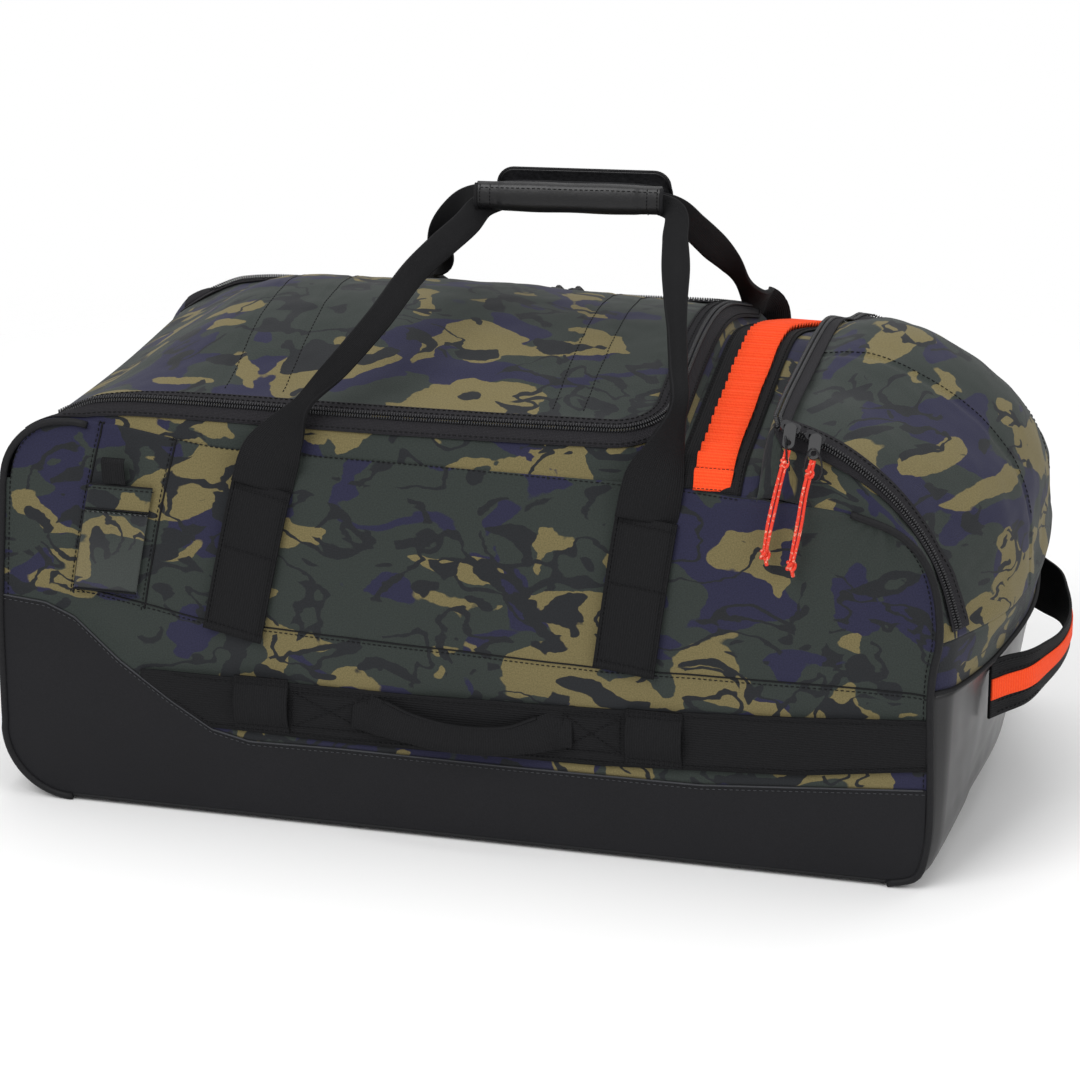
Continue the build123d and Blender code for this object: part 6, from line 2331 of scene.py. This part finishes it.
# ------------------------------------------------------------------ studio
@dataclass
class Studio:
    """Camera, lamps, floor and surroundings."""

    azimuth: float = 14.64
    elevation: float = 19.65
    distance: float = 3.1566
    target: tuple[float, float, float] = (0.0119, 0.0, 0.1787)
    lens: float = 129.6

    def build(self) -> None:
        """Set up the studio."""
        self.camera()
        self.floor()
        self.world()
        self.lamp("key_lamp", (-1.1, -2.4, 2.6), 2.2, 62.0)
        self.lamp("fill_lamp", (2.6, -1.4, 1.5), 2.0, 26.0)
        self.lamp("top_lamp", (0.2, 0.8, 3.0), 2.4, 34.0)
        scene = bpy.context.scene
        scene.view_settings.view_transform = "Standard"

    def camera(self) -> None:
        """A long lens looking down on the front, a little from the right."""
        a, e = math.radians(self.azimuth), math.radians(self.elevation)
        back = Vector((math.sin(a) * math.cos(e), -math.cos(a) * math.cos(e), math.sin(e)))
        data = bpy.data.cameras.new("camera")
        data.lens, data.sensor_width = self.lens, 36.0
        data.clip_start, data.clip_end = 0.1, 50.0
        camera = bpy.data.objects.new("camera", data)
        camera.location = Vector(self.target) + back * self.distance
        camera.rotation_euler = (-back).to_track_quat("-Z", "Y").to_euler()
        bpy.context.scene.collection.objects.link(camera)
        bpy.context.scene.camera = camera

    def lamp(self, name: str, place: tuple[float, float, float], size: float, power: float) -> None:
        """A large soft lamp aimed at the bag.

        Args:
            name: its name.
            place: where it stands, in metres.
            size: its width.
            power: its power, in watts.
        """
        data = bpy.data.lights.new(name, "AREA")
        data.size, data.energy = size, power
        lamp = bpy.data.objects.new(name, data)
        lamp.location = place
        aim = Vector((0, 0, 0.2)) - Vector(place)
        lamp.rotation_euler = aim.to_track_quat("-Z", "Y").to_euler()
        bpy.context.scene.collection.objects.link(lamp)

    def floor(self) -> None:
        """A wide pale floor."""
        reach = 9.0
        mesh = bpy.data.meshes.new("studio_floor")
        mesh.from_pydata([(-reach, -reach, 0), (reach, -reach, 0), (reach, reach, 0), (-reach, reach, 0)],
                         [], [(0, 1, 2, 3)])
        floor = bpy.data.objects.new("studio_floor", mesh)
        bpy.context.scene.collection.objects.link(floor)
        shader = Shader("pale_floor", 0.9, 0.0)
        away = shader.node("ShaderNodeVectorMath", {0: shader.place(False)}, operation="LENGTH")
        clear = shader.step(away.outputs["Value"], 0.75, 1.5)
        see_through = shader.node("ShaderNodeBsdfTransparent")
        mix = shader.node("ShaderNodeMixShader", {0: clear, 1: shader.surface.outputs[0],
                                                  2: see_through.outputs[0]})
        shader.give(shader.tree.nodes["Material Output"].inputs[0], mix.outputs[0])
        mesh.materials.append(shader.finish((0.97, 0.97, 0.97, 1)))

    def world(self) -> None:
        """Plain surroundings that look white to the camera and through transparent surfaces, and dimmer to
        all other rays.
        """
        world = bpy.data.worlds.new("surroundings")
        bpy.context.scene.world = world
        world.use_nodes = True
        tree = world.node_tree
        tree.nodes.clear()
        soft, white = (tree.nodes.new("ShaderNodeBackground") for _ in range(2))
        soft.inputs[0].default_value, soft.inputs[1].default_value = (1, 1, 1, 1), 0.55
        white.inputs[0].default_value, white.inputs[1].default_value = (1, 1, 1, 1), 1.0
        light = tree.nodes.new("ShaderNodeLightPath")
        most = tree.nodes.new("ShaderNodeMath")
        most.operation = "MAXIMUM"
        mix, out = tree.nodes.new("ShaderNodeMixShader"), tree.nodes.new("ShaderNodeOutputWorld")
        for source, socket in ((light.outputs["Is Camera Ray"], most.inputs[0]),
                               (light.outputs["Is Transmission Ray"], most.inputs[1]),
                               (most.outputs[0], mix.inputs[0]), (soft.outputs[0], mix.inputs[1]),
                               (white.outputs[0], mix.inputs[2]), (mix.outputs[0], out.inputs[0])):
            tree.links.new(source, socket)


def main() -> None:
    """Build the studio and every sub-assembly in order."""
    logging.basicConfig(level=logging.INFO, format="%(message)s")
    Studio().build()
    shape = BagShape()
    finishes = Finishes()
    kit = Duffel(shape, LidRail(shape), finishes, Threads(finishes))
    PullCords(kit).build()
    for part in (Walls(kit), WheelEnd(kit), Top(kit), EndCompartment(kit), Zippers(kit),
                 HaulStraps(kit), CarryWrap(kit), Handles(kit), IdPocket(kit), Lining(kit), HardParts(kit)):
        LOG.info("building %s", type(part).__name__)
        part.build()
    kit.threads.build()
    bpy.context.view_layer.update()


if __name__ == "__main__":
    main()
